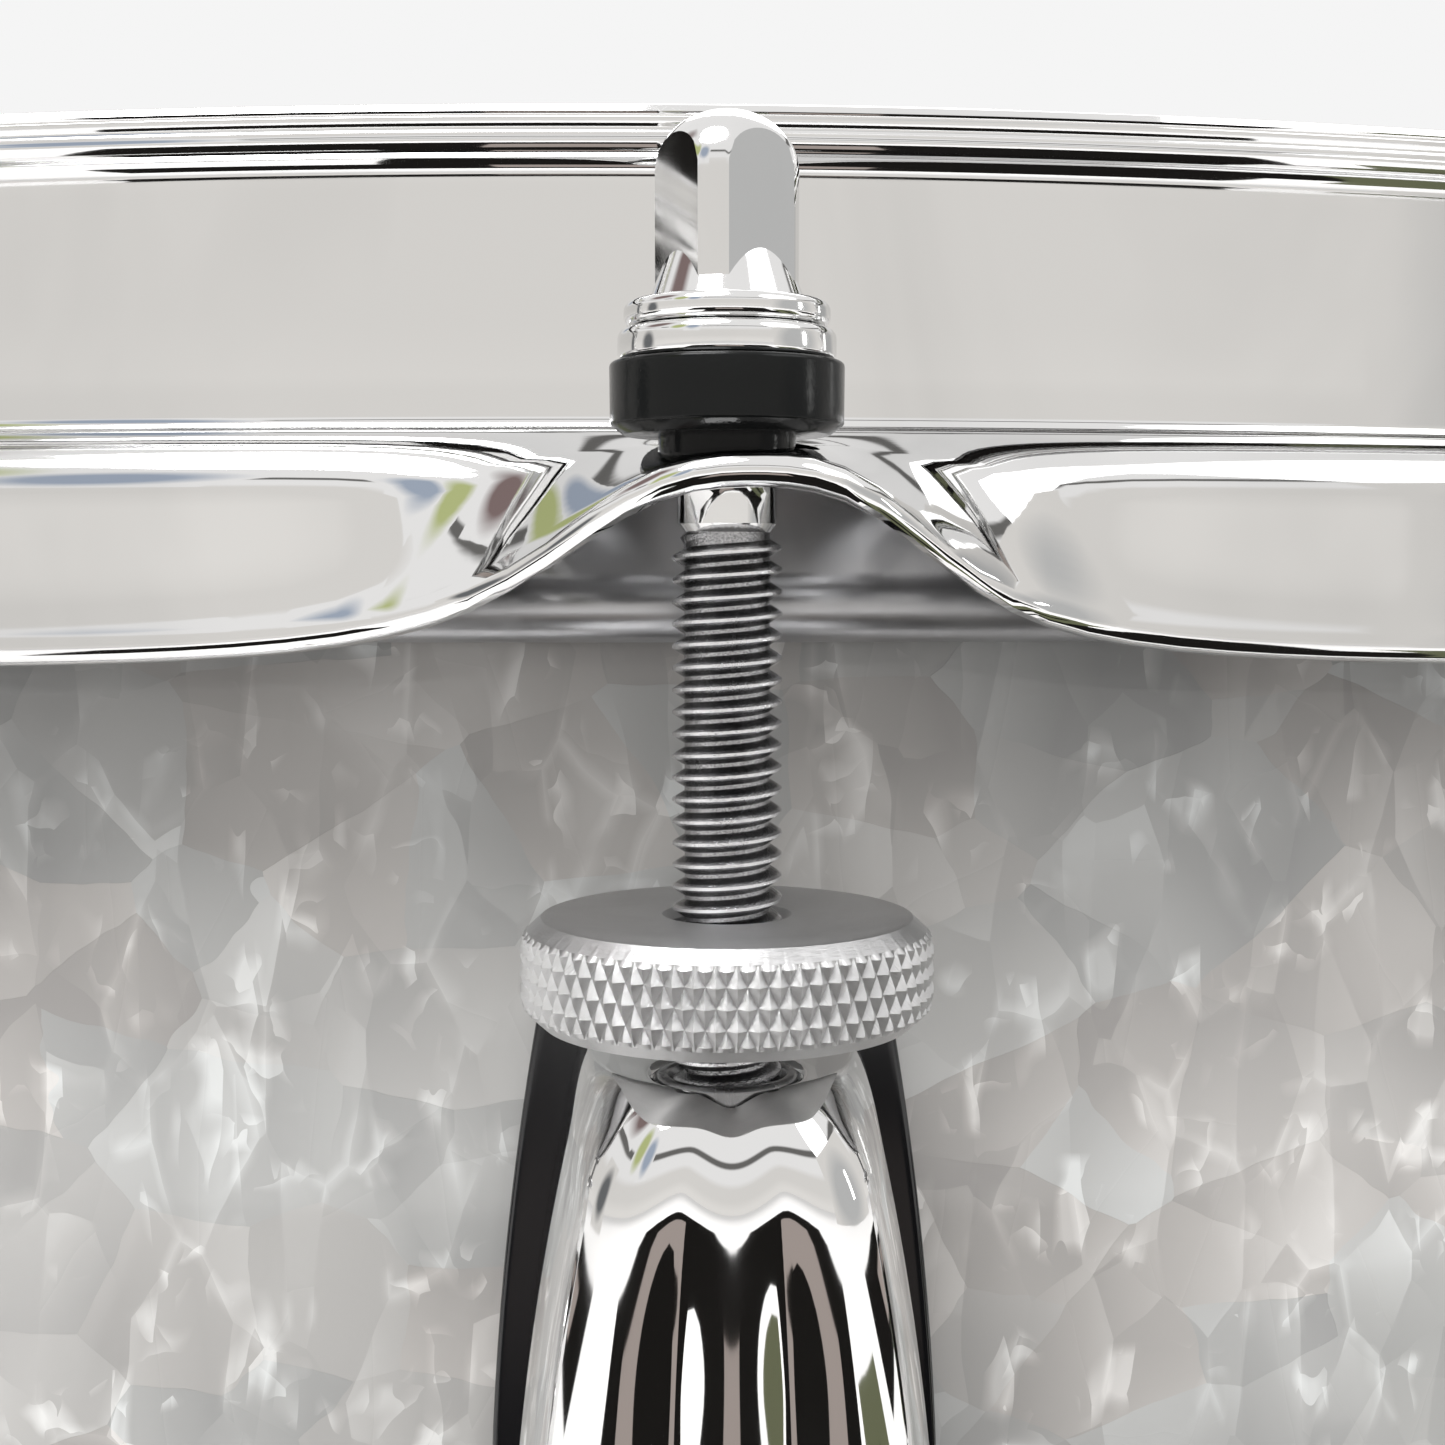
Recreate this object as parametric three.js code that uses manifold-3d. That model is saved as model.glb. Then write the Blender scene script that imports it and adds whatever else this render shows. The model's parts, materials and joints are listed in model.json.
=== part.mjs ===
// A 14 x 5.5 inch snare drum: pearl-wrapped wood shell, two heads, triple-flanged
// hoops, eight double-ended lugs, tension rods with knurled lock nuts, and a
// throw-off strainer with its butt plate and snare wires.
// Millimetres, +Z up. The drum stands on its snare-side rim, origin at the centre of that rim.

import * as THREE from "three";
import { mergeVertices } from "three/addons/utils/BufferGeometryUtils.js";
import Module from "manifold-3d";

const wasm = await Module();
wasm.setup();

// ---------------------------------------------------------------- driving sizes

const SHELL_RADIUS = 177; // outside of the bare wood, under the wrap
const SHELL_WALL = 7;
const SHELL_DEPTH = 139.7; // 5.5 inches between the bearing edges
const GAP = 0.3; // clearance left between pieces that touch
const RIM_RISE = 10; // hoop rim above the bearing edge

const HOOP_SHEET = 1.6; // steel thickness
const HOOP_WALL_RADIUS = 180; // middle of the sheet in the upright wall
const HOOP_LIP_RADIUS = 184.8; // middle of the sheet at the lip's tip
const HOOP_FLANGE_DROP = 17.4; // rim top down to the middle of the flange sheet
const HOOP_SKIRT_RADIUS = 186.4;
const HOOP_SKIRT_DROP = 28.6; // rim top down to the skirt's free edge
const EAR_RADIUS = 198.8; // free edge of an ear
const EAR_DIP = 1.9; // how far an ear's tip lies under the flange
const HOOP_STEPS = 12; // cross-sections of a hoop from one rod to the next

const LUG_COUNT = 8;
const FIRST_LUG_ANGLE = -Math.PI / 2; // a lug faces -Y
const ROD_CIRCLE_RADIUS = 193.5;
const ROD_RADIUS = 2.68; // 7/32 inch thread
const ROD_HOLE_RADIUS = 3.6;

const LUG_HALF_HEIGHT = 31.5;
const LUG_PROJECTION = 20; // above the gasket
const LUG_BORE_RADIUS = 3.6;
const LUG_BORE_DEPTH = 20;
const GASKET_THICKNESS = 1.2;

const SHELL_SIDES = 48; // facets round the shell, wrap, heads and flesh hoops

const STRAINER_ANGLE = -Math.PI / 8; // half-way between two lugs
const VENT_ANGLE = -Math.PI / 2 - Math.PI / 8;

// ---------------------------------------------------------------- derived sizes

const LOW_EDGE = RIM_RISE; // snare-side bearing edge
const HIGH_EDGE = RIM_RISE + SHELL_DEPTH; // batter-side bearing edge
const DRUM_HEIGHT = SHELL_DEPTH + 2 * RIM_RISE;
const MID_HEIGHT = DRUM_HEIGHT / 2;
const WRAP_INNER = SHELL_RADIUS + GAP;
const WRAP_OUTER = WRAP_INNER + 0.6;
const LUG_STEP = (2 * Math.PI) / LUG_COUNT;

// ---------------------------------------------------------------- materials

const finish = (color, metalness, roughness) =>
  new THREE.MeshStandardMaterial({ color, metalness, roughness });
const chrome = finish(0xd8dade, 1, 0.08);
const aluminium = finish(0xb9bbbd, 1, 0.35);
const blackRubber = finish(0x141416, 0, 0.5);
const pearl = finish(0xd9d6d2, 0, 0.2);
const maple = finish(0xc79a62, 0, 0.6);
const coatedFilm = finish(0xf2f1ec, 0, 0.8);
const clearFilm = finish(0xe6e8e8, 0, 0.3);
const steelWire = finish(0xb4b6b8, 1, 0.3);
const strapPlastic = finish(0xe9e9e6, 0, 0.35);

// ---------------------------------------------------------------- shape helpers

// A closed (radius, height) outline turned about Z.
function turned(outline, sides, startAngle = 0) {
  const twiceArea = outline.reduce((sum, [r, z], i) => {
    const [nextR, nextZ] = outline[(i + 1) % outline.length];
    return sum + r * nextZ - nextR * z;
  }, 0);
  const points = outline.map(([r, z]) => new THREE.Vector2(r, z));
  if (twiceArea < 0) points.reverse();
  if (points.every((p) => p.x > 0)) points.push(points[0].clone());
  return new THREE.LatheGeometry(points, sides, startAngle).rotateX(Math.PI / 2);
}

// An outline in the X-Z plane given thickness along Y, centred on Y = 0.
function plate(outline, width) {
  const shape = new THREE.Shape(outline.map(([x, z]) => new THREE.Vector2(x, z)));
  return new THREE.ExtrudeGeometry(shape, { depth: width, bevelEnabled: false })
    .translate(0, 0, -width / 2)
    .rotateX(Math.PI / 2);
}

function block(x0, x1, halfY, z0, z1) {
  return plate([[x0, z0], [x1, z0], [x1, z1], [x0, z1]], 2 * halfY);
}

// A round bar standing on Z.
function post(radius, z0, z1, sides = 16) {
  return turned([[0, z0], [radius, z0], [radius, z1], [0, z1]], sides);
}

function toSolid(geometry) {
  const bare = geometry.clone();
  bare.deleteAttribute("normal");
  bare.deleteAttribute("uv");
  const merged = mergeVertices(bare, 1e-4);
  const mesh = new wasm.Mesh({
    numProp: 3,
    vertProperties: new Float32Array(merged.attributes.position.array),
    triVerts: new Uint32Array(merged.index.array),
  });
  return new wasm.Manifold(mesh);
}

function toGeometry(solid) {
  const { vertProperties, triVerts } = solid.getMesh();
  return new THREE.BufferGeometry()
    .setAttribute("position", new THREE.BufferAttribute(vertProperties, 3))
    .setIndex(new THREE.BufferAttribute(triVerts, 1));
}

function cut(geometry, ...tools) {
  return toGeometry(tools.reduce((left, tool) => left.subtract(toSolid(tool)), toSolid(geometry)));
}

function join(geometry, ...others) {
  return toGeometry(others.reduce((left, other) => left.add(toSolid(other)), toSolid(geometry)));
}

const drum = new THREE.Group();

function addPiece(name, geometry, material, parent = drum) {
  const mesh = new THREE.Mesh(geometry, material);
  mesh.name = name;
  parent.add(mesh);
  return mesh;
}

// A group whose +X points away from the drum's axis at the given angle.
function radialGroup(angle) {
  const group = new THREE.Group();
  group.rotation.z = angle;
  drum.add(group);
  return group;
}

const lugAngle = (i) => FIRST_LUG_ANGLE + i * LUG_STEP;

// ---------------------------------------------------------------- shell and wrap

function ventHole(radius) {
  return post(radius, SHELL_RADIUS - 20, SHELL_RADIUS + 20, 12)
    .rotateY(Math.PI / 2)
    .rotateZ(VENT_ANGLE)
    .translate(0, 0, MID_HEIGHT);
}

function shellGeometry() {
  const inner = SHELL_RADIUS - SHELL_WALL;
  const crown = SHELL_RADIUS - 1.8; // radius of the bearing edge's crown
  const inCut = crown - inner;
  const outCut = SHELL_RADIUS - crown;
  const outline = [
    [inner, LOW_EDGE + inCut],
    [crown, LOW_EDGE],
    [SHELL_RADIUS, LOW_EDGE + outCut],
    [SHELL_RADIUS, HIGH_EDGE - outCut],
    [crown, HIGH_EDGE],
    [inner, HIGH_EDGE - inCut],
  ];
  return cut(turned(outline, SHELL_SIDES), ventHole(6.4));
}

function wrapGeometry() {
  const stop = 4; // the wrap ends this far short of each bearing edge
  const outline = [
    [WRAP_INNER, LOW_EDGE + stop],
    [WRAP_OUTER, LOW_EDGE + stop],
    [WRAP_OUTER, HIGH_EDGE - stop],
    [WRAP_INNER, HIGH_EDGE - stop],
  ];
  return cut(turned(outline, SHELL_SIDES), ventHole(6.4));
}

addPiece("shell", shellGeometry(), maple);
addPiece("shell_wrap", wrapGeometry(), pearl);

// ---------------------------------------------------------------- heads

// Both heads are drawn with their bearing edge at 0 and the playing side up.
const FILM = 0.4;

function filmGeometry() {
  const outline = [
    [0, GAP],
    [175.6, GAP],
    [178.2, -2.4],
    [178.2, -10],
    [178.2 + FILM, -10],
    [178.2 + FILM, -2.2],
    [175.8, GAP + FILM],
    [0, GAP + FILM],
  ];
  return turned(outline, SHELL_SIDES);
}

function fleshHoopGeometry() {
  const inner = 179;
  const outer = HOOP_SKIRT_RADIUS - HOOP_SHEET / 2 - 0.6;
  const top = RIM_RISE - HOOP_FLANGE_DROP - HOOP_SHEET / 2 - GAP;
  const bottom = top - 9.4;
  const outline = [[inner, bottom], [outer, bottom], [outer, top - 1], [outer - 1, top], [inner, top]];
  return turned(outline, SHELL_SIDES);
}

// Turns a piece drawn for the batter side over, for the snare side.
function otherSide(geometry) {
  return geometry.clone().rotateX(Math.PI);
}

addPiece("batter_head", filmGeometry().translate(0, 0, HIGH_EDGE), coatedFilm);
addPiece("batter_flesh_hoop", fleshHoopGeometry().translate(0, 0, HIGH_EDGE), aluminium);
addPiece("snare_side_head", otherSide(filmGeometry()).translate(0, 0, LOW_EDGE), clearFilm);
addPiece("snare_side_flesh_hoop", otherSide(fleshHoopGeometry()).translate(0, 0, LOW_EDGE), aluminium);

// ---------------------------------------------------------------- hoops

// How far an angle is from the nearest rod, along the rod circle.
function arcFromRod(angle) {
  const turn = (angle - FIRST_LUG_ANGLE) / LUG_STEP;
  return Math.abs(turn - Math.round(turn)) * LUG_STEP * ROD_CIRCLE_RADIUS;
}

// The fold from the flange to the free edge, as (radius, height under the rim top):
// between the rods it turns down into a skirt, at a rod it runs out into an ear.
const SKIRT_FOLD = [
  [184.4, -HOOP_FLANGE_DROP],
  [HOOP_SKIRT_RADIUS, -HOOP_FLANGE_DROP - 2],
  [HOOP_SKIRT_RADIUS, -HOOP_SKIRT_DROP],
];
const EAR_FOLD = [
  [184.4, -HOOP_FLANGE_DROP],
  [188, -HOOP_FLANGE_DROP - 1.3],
  [EAR_RADIUS, -HOOP_FLANGE_DROP - EAR_DIP],
];

// The middle of the sheet at an angle, from the lip's tip to the free edge, rim top at 0.
function hoopCentreline(angle) {
  const arc = arcFromRod(angle);
  const flare = Math.exp(-((arc / 12) ** 2.4));
  const rise = Math.exp(-((arc / 12.5) ** 1.4));
  const half = HOOP_SHEET / 2;
  const fold = SKIRT_FOLD.map(([r, z], i) => [
    THREE.MathUtils.lerp(r, EAR_FOLD[i][0], flare),
    THREE.MathUtils.lerp(z, EAR_FOLD[i][1], rise),
  ]);
  return [
    [HOOP_LIP_RADIUS, -half],
    [HOOP_WALL_RADIUS + 1.6, -half],
    [HOOP_WALL_RADIUS, -half - 1.6],
    [HOOP_WALL_RADIUS, -HOOP_FLANGE_DROP],
    ...fold,
  ].map(([r, z]) => new THREE.Vector2(r, z));
}

// The closed outline of the sheet: the centreline moved half a thickness each way.
function sheetOutline(centreline) {
  const side = (sign) =>
    centreline.map((point, i) => {
      const before = centreline[Math.max(0, i - 1)];
      const after = centreline[Math.min(centreline.length - 1, i + 1)];
      const along = after.clone().sub(before).normalize();
      const bend = i > 0 && i < centreline.length - 1
        ? point.clone().sub(before).normalize().dot(after.clone().sub(point).normalize())
        : 1;
      const reach = (sign * HOOP_SHEET) / 2 / Math.sqrt((1 + bend) / 2);
      return new THREE.Vector2(point.x - along.y * reach, point.y + along.x * reach);
    });
  return [...side(-1), ...side(1).reverse()];
}

// Angles round the hoop, closer together near the rods where the sheet changes most.
function hoopAngle(step) {
  const lug = Math.round(step / HOOP_STEPS);
  const share = (2 * (step - lug * HOOP_STEPS)) / HOOP_STEPS;
  const bunched = Math.sign(share) * Math.abs(share) ** 1.6;
  return lugAngle(lug) + (bunched * LUG_STEP) / 2;
}

function hoopGeometry() {
  const sides = HOOP_STEPS * LUG_COUNT;
  const outlineAt = (angle) => {
    const outline = sheetOutline(hoopCentreline(angle));
    return [...outline, outline[0]];
  };
  const geometry = new THREE.LatheGeometry(outlineAt(0), sides).rotateX(Math.PI / 2);
  const position = geometry.attributes.position;
  for (let step = 0; step <= sides; step += 1) {
    const angle = hoopAngle(step);
    outlineAt(angle).forEach((p, j, outline) => {
      const at = step * outline.length + j;
      position.setXYZ(at, p.x * Math.cos(angle), p.x * Math.sin(angle), p.y);
    });
  }
  const holes = Array.from({ length: LUG_COUNT }, (_, i) =>
    post(ROD_HOLE_RADIUS, -30, -10, 12)
      .translate(ROD_CIRCLE_RADIUS, 0, 0)
      .rotateZ(lugAngle(i)),
  );
  return cut(geometry, ...holes);
}

// The snare-side hoop has two gates, gaps in its rim that the snare straps run through.
function snareSideHoopGeometry() {
  const gates = [0, Math.PI].map((turn) =>
    block(170, 192, 27, -12.5, 1).rotateZ(turn - STRAINER_ANGLE),
  );
  return cut(hoopGeometry(), ...gates);
}

addPiece("batter_hoop", hoopGeometry().translate(0, 0, DRUM_HEIGHT), chrome);
addPiece("snare_side_hoop", otherSide(snareSideHoopGeometry()), chrome);

// ---------------------------------------------------------------- lugs and gaskets

const LUG_FOOT = WRAP_OUTER + GAP + GASKET_THICKNESS + GAP; // radius of a lug's flat back

// Half-width of a lug's foot at a share of its half-height, 0 in the middle and 1 at an end.
function lugHalfWidth(share) {
  return 12.1 - 3 * Math.abs(share) ** 1.9;
}

// A cylinder's levels are reshaped into rounded oblongs with a flat back, drawn in at both ends.
function lugGeometry() {
  const around = 12;
  const levels = [
    { share: -1, inset: 0.9 },
    { share: -0.95, inset: 1 },
    { share: 0, inset: 1 },
    { share: 0.95, inset: 1 },
    { share: 1, inset: 0.9 },
  ];
  const geometry = new THREE.CylinderGeometry(1, 1, levels.length - 1, around, levels.length - 1)
    .rotateX(Math.PI / 2);
  const position = geometry.attributes.position;
  const squared = (v) => Math.sign(v) * Math.abs(v) ** 0.77;
  for (let i = 0; i < position.count; i += 1) {
    const { share, inset } = levels[Math.round(position.getZ(i) + (levels.length - 1) / 2)];
    const forward = squared(Math.max(0, position.getX(i))) * inset;
    const across = squared(position.getY(i)) * inset;
    const x = LUG_FOOT + forward * (LUG_PROJECTION + 1.2 * (1 - share * share));
    position.setXYZ(i, x, across * lugHalfWidth(share), MID_HEIGHT + share * LUG_HALF_HEIGHT);
  }
  const bore = (z0, z1) => post(LUG_BORE_RADIUS, z0, z1, 10).translate(ROD_CIRCLE_RADIUS, 0, 0);
  const low = MID_HEIGHT - LUG_HALF_HEIGHT;
  const high = MID_HEIGHT + LUG_HALF_HEIGHT;
  return cut(geometry, bore(low - 1, low + LUG_BORE_DEPTH), bore(high - LUG_BORE_DEPTH, high + 1));
}

// The gasket's back follows the round shell and its front is flat under the lug.
function gasketGeometry() {
  const overhang = 0.8;
  const steps = 6;
  const sides = [1, -1].flatMap((side) =>
    Array.from({ length: steps + 1 }, (_, i) => {
      const share = side * (1 - (2 * i) / steps);
      const z = share * (LUG_HALF_HEIGHT + overhang);
      return [side * (lugHalfWidth(Math.abs(share)) + overhang), z];
    }),
  );
  const shape = new THREE.Shape(sides.map(([y, z]) => new THREE.Vector2(y, z)));
  const depth = GASKET_THICKNESS + 2;
  const slab = new THREE.ExtrudeGeometry(shape, { depth, bevelEnabled: false })
    .rotateX(Math.PI / 2)
    .rotateZ(Math.PI / 2)
    .translate(LUG_FOOT - GAP - depth, 0, MID_HEIGHT);
  return cut(slab, post(WRAP_OUTER + GAP, 0, DRUM_HEIGHT, 96));
}

const lugShape = lugGeometry();
const gasketShape = gasketGeometry();

// ---------------------------------------------------------------- rods and lock nuts

// A rod drawn about its own axis with its washers' seat at 0 and the square head up.
// Its collar and its two washers are one stepped flange here.
function rodGeometry() {
  const outline = [
    [0, -46],
    [ROD_RADIUS, -46],
    [ROD_RADIUS, 0],
    [5.6, 0],
    [5.6, 3.6],
    [5, 3.8],
    [5, 6.4],
    [3.8, 6.8],
    [0, 6.8],
  ];
  const headTop = 15;
  const flats = 3.2 / Math.cos(Math.PI / 4); // a square turned from four corners
  const head = [[0, 6.5], [flats, 6.5], [flats, headTop - 1.2], [flats - 1.6, headTop], [0, headTop]];
  return join(turned(outline, 8), turned(head, 4, Math.PI / 4));
}

const NUT_TOP = -23.1; // of the lock nut, below the washers' seat
const NUT_THICKNESS = 5.2;
const NUT_RADIUS = 10.05;

function lockNutGeometry() {
  const bore = ROD_RADIUS + GAP;
  const bottom = NUT_TOP - NUT_THICKNESS;
  const outline = [
    [bore, bottom],
    [NUT_RADIUS - 1, bottom],
    [NUT_RADIUS, bottom + 1],
    [NUT_RADIUS, NUT_TOP - 1],
    [NUT_RADIUS - 1, NUT_TOP],
    [bore, NUT_TOP],
  ];
  return turned(outline, 16);
}

const ROD_SEAT = 142.5; // height of the washers' underside on the batter side
const rodShape = rodGeometry();
const nutShape = lockNutGeometry();

for (let i = 0; i < LUG_COUNT; i += 1) {
  const station = radialGroup(lugAngle(i));
  addPiece(`lug_${i + 1}`, lugShape, chrome, station);
  addPiece(`lug_gasket_${i + 1}`, gasketShape, blackRubber, station);
  const batterRod = addPiece(`batter_rod_${i + 1}`, rodShape, chrome, station);
  batterRod.position.set(ROD_CIRCLE_RADIUS, 0, ROD_SEAT);
  const lockNut = addPiece(`lock_nut_${i + 1}`, nutShape, aluminium, station);
  lockNut.position.copy(batterRod.position);
  const snareRod = addPiece(`snare_side_rod_${i + 1}`, rodShape, chrome, station);
  snareRod.position.set(ROD_CIRCLE_RADIUS, 0, DRUM_HEIGHT - ROD_SEAT);
  snareRod.rotation.x = Math.PI;
}

// ---------------------------------------------------------------- strainer

const BACK = WRAP_OUTER + GAP + 0.1; // radius of the strainer's and butt plate's flat backs
const STRAP_FACE = 189.2; // radius of the straps' inner side
const STRAP = 0.8; // strap thickness
const PIVOT_X = 197; // lever pin, as a radius
const PIVOT_Z = 68;

const strainer = radialGroup(STRAINER_ANGLE);
const butt = radialGroup(STRAINER_ANGLE + Math.PI);

// A back plate with two cheeks that hold the lever pin, and a bridge on top for the tension knob.
function strainerBaseGeometry() {
  const back = block(BACK, 184, 17, 52, 118);
  const cheek = plate(
    [[183, 54], [193, 54], [201, 62], [201, 74], [193, 90], [183, 96]],
    3.4,
  );
  const cheeks = [1, -1].map((side) => cheek.clone().translate(0, side * 15.3, 0));
  const bridge = block(183, 195, 12, 106, 118);
  const pinHole = post(2.4, -20, 20, 12).rotateX(Math.PI / 2).translate(PIVOT_X, 0, PIVOT_Z);
  const screwHole = post(3.2, 100, 120, 12).translate(189, 0, 0);
  return cut(join(back, ...cheeks, bridge), pinHole, screwHole);
}

// The lever stands up over the slide; its tab bends outwards for a finger.
function leverGeometry() {
  const arm = plate(
    [
      [193.6, 64], [195.4, 61.6], [198.6, 61.6], [200.8, 64.4], [200.8, 72],
      [198.4, 96], [199.6, 106], [203, 113], [200.6, 114.6], [196.6, 108], [195, 96], [193.6, 76],
    ],
    20,
  );
  const eye = post(2.4, -20, 20, 12).rotateX(Math.PI / 2).translate(PIVOT_X, 0, PIVOT_Z);
  return cut(arm, eye);
}

addPiece("strainer_base", strainerBaseGeometry(), chrome, strainer);
addPiece("strainer_slide", block(184.4, STRAP_FACE - GAP, 13.2, 36, 98), chrome, strainer);
addPiece("strainer_lever", leverGeometry(), chrome, strainer);
addPiece(
  "lever_pin",
  post(2.05, -18.4, 18.4, 12).rotateX(Math.PI / 2).translate(PIVOT_X, 0, PIVOT_Z),
  chrome,
  strainer,
);
addPiece(
  "tension_knob",
  turned(
    [[0, 104], [2.6, 104], [2.6, 118.4], [8, 118.4], [8, 126], [6.8, 127.4], [0, 127.4]],
    20,
  ).translate(189, 0, 0),
  chrome,
  strainer,
);

const clampGeometry = block(STRAP_FACE + STRAP + GAP, STRAP_FACE + STRAP + GAP + 3, 13, 38, 50);
addPiece("strap_clamp", clampGeometry, chrome, strainer);

// ---------------------------------------------------------------- butt plate

addPiece("butt_base", block(BACK, STRAP_FACE - GAP, 16, 36, 66), chrome, butt);
addPiece("butt_clamp", clampGeometry.clone(), chrome, butt);

// ---------------------------------------------------------------- snares

const SNARE_TOP = LOW_EDGE - GAP - FILM - GAP; // the wires lie against the snare-side head
const SNARE_REACH = 146; // from the axis to the end of each end plate
const SNARE_HALF_WIDTH = 21;

// A strap lies flat under the head, turns up outside the hoop and ends under its clamp.
function strapGeometry() {
  const low = SNARE_TOP - STRAP;
  const outer = STRAP_FACE + STRAP;
  const start = SNARE_REACH + GAP;
  return plate(
    [
      [start, low], [outer - 3, low], [outer - 0.9, low + 0.9], [outer, low + 3], [outer, 53],
      [STRAP_FACE, 53], [STRAP_FACE, low + 3.2], [outer - 3.2, SNARE_TOP], [start, SNARE_TOP],
    ],
    20,
  );
}

// Twenty wires side by side, drawn as square bars, between two end plates.
function snareWireGeometry() {
  const wires = 20;
  const thickness = 1.6;
  const pitch = (2 * SNARE_HALF_WIDTH) / wires;
  const slotWidth = 1.2;
  const slotHalfLength = SNARE_REACH - 15;
  const strip = new THREE.Shape([
    new THREE.Vector2(-SNARE_REACH, -SNARE_HALF_WIDTH),
    new THREE.Vector2(SNARE_REACH, -SNARE_HALF_WIDTH),
    new THREE.Vector2(SNARE_REACH, SNARE_HALF_WIDTH),
    new THREE.Vector2(-SNARE_REACH, SNARE_HALF_WIDTH),
  ]);
  for (let i = 1; i < wires; i += 1) {
    const y = (i - wires / 2) * pitch;
    strip.holes.push(
      new THREE.Path([
        new THREE.Vector2(-slotHalfLength, y - slotWidth / 2),
        new THREE.Vector2(-slotHalfLength, y + slotWidth / 2),
        new THREE.Vector2(slotHalfLength, y + slotWidth / 2),
        new THREE.Vector2(slotHalfLength, y - slotWidth / 2),
      ]),
    );
  }
  const bars = new THREE.ExtrudeGeometry(strip, { depth: thickness, bevelEnabled: false })
    .translate(0, 0, SNARE_TOP - thickness);
  const endPlates = [1, -1].map((end) => {
    const [near, far] = [end * (slotHalfLength + 1), end * SNARE_REACH].sort((p, q) => p - q);
    return block(near, far, SNARE_HALF_WIDTH, SNARE_TOP - 2, SNARE_TOP);
  });
  return join(bars, ...endPlates);
}

addPiece("snare_wires", snareWireGeometry(), steelWire, strainer);
addPiece("strainer_strap", strapGeometry(), strapPlastic, strainer);
addPiece("butt_strap", strapGeometry(), strapPlastic, butt);

// ---------------------------------------------------------------- vent

// A flanged tube through the shell that lets air out.
function ventGeometry() {
  const inner = SHELL_RADIUS - SHELL_WALL - 1;
  const outline = [
    [4, inner],
    [6, inner],
    [6, WRAP_OUTER + GAP],
    [9, WRAP_OUTER + GAP],
    [8, WRAP_OUTER + GAP + 1.4],
    [4, WRAP_OUTER + GAP + 1.4],
  ];
  return turned(outline, 16).rotateY(Math.PI / 2).translate(0, 0, MID_HEIGHT);
}

addPiece("vent_grommet", ventGeometry(), chrome, radialGroup(VENT_ANGLE));

export default drum;
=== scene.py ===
"""Snare drum: models each piece of a 14 x 5.5 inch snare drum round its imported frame.

Metres, +Z up. Every finished piece stands at the origin with its place in its mesh, and rides
on one of the frame's bodies. Rods, nuts and lugs are modelled once, at the first station, in
a local frame whose +X points away from the drum, and copied to every station from there.
"""

import json
import math
from contextlib import contextmanager

import bpy
from mathutils import Matrix, Vector


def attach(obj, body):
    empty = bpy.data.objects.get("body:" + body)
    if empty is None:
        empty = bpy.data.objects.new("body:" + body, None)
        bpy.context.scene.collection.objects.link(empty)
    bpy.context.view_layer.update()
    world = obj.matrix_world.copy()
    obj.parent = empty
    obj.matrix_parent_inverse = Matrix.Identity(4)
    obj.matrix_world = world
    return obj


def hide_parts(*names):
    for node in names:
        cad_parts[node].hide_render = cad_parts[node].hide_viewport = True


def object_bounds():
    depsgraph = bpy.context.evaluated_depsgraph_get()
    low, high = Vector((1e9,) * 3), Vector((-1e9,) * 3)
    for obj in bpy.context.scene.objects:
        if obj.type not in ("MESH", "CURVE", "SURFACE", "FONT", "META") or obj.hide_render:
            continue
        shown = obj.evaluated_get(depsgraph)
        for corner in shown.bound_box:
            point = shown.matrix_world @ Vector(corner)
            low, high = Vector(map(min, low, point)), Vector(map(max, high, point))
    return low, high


bl_info = {
    "name": "Snare Drum Pieces",
    "version": (1, 0, 0),
    "blender": (4, 5, 0),
    "location": "View3D > Sidebar > Snare Drum",
    "description": "Models a pearl-wrapped snare drum piece by piece round its packed frame",
    "category": "Add Mesh",
}

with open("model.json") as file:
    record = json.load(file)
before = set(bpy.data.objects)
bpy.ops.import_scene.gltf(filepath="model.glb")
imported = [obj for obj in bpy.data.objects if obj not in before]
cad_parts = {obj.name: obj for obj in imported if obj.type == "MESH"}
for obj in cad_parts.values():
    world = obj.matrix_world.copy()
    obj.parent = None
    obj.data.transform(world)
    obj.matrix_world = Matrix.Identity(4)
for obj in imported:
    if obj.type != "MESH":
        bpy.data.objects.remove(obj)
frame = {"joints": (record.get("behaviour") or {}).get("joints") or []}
cad_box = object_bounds()

MM = 0.001
TURN = 2 * math.pi
JOINTS = {joint["name"]: joint for joint in frame["joints"]}
STATIONS = sum(name.startswith("batter_rod_turn_") for name in JOINTS)
BATTER_SEAT = JOINTS["batter_rod_turn_1"]["pos_m"][2]  # under the washers, batter side
SNARE_SEAT = JOINTS["snare_side_rod_turn_1"]["pos_m"][2]
ROD_CIRCLE = math.hypot(*JOINTS["batter_rod_turn_1"]["pos_m"][:2])
RIM_TOP = cad_box[1].z
MIDDLE = RIM_TOP / 2
LEVER_PIVOT = Vector(JOINTS["strainer_lever_throw"]["pos_m"])
STRAINER_ANGLE = math.atan2(LEVER_PIVOT.y, LEVER_PIVOT.x)
KNOB_AXIS = 189 * MM  # radius at which the tension knob stands


def station_angle(index):
    x, y, _ = JOINTS[f"batter_rod_turn_{index + 1}"]["pos_m"]
    return math.atan2(y, x)


# ------------------------------------------------------------------ settings


def length(millimetres, description):
    return bpy.props.FloatProperty(
        description=description, default=millimetres * MM, unit="LENGTH", precision=5
    )


def angle(degrees, description):
    return bpy.props.FloatProperty(
        description=description, default=math.radians(degrees), subtype="ANGLE"
    )


def count(default, description):
    return bpy.props.IntProperty(description=description, default=default, min=1)


def tint(colour, description):
    return bpy.props.FloatVectorProperty(
        description=description, default=colour, subtype="COLOR", size=3, min=0, max=1
    )


def level(default, description):
    return bpy.props.FloatProperty(description=description, default=default, min=0)


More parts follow.
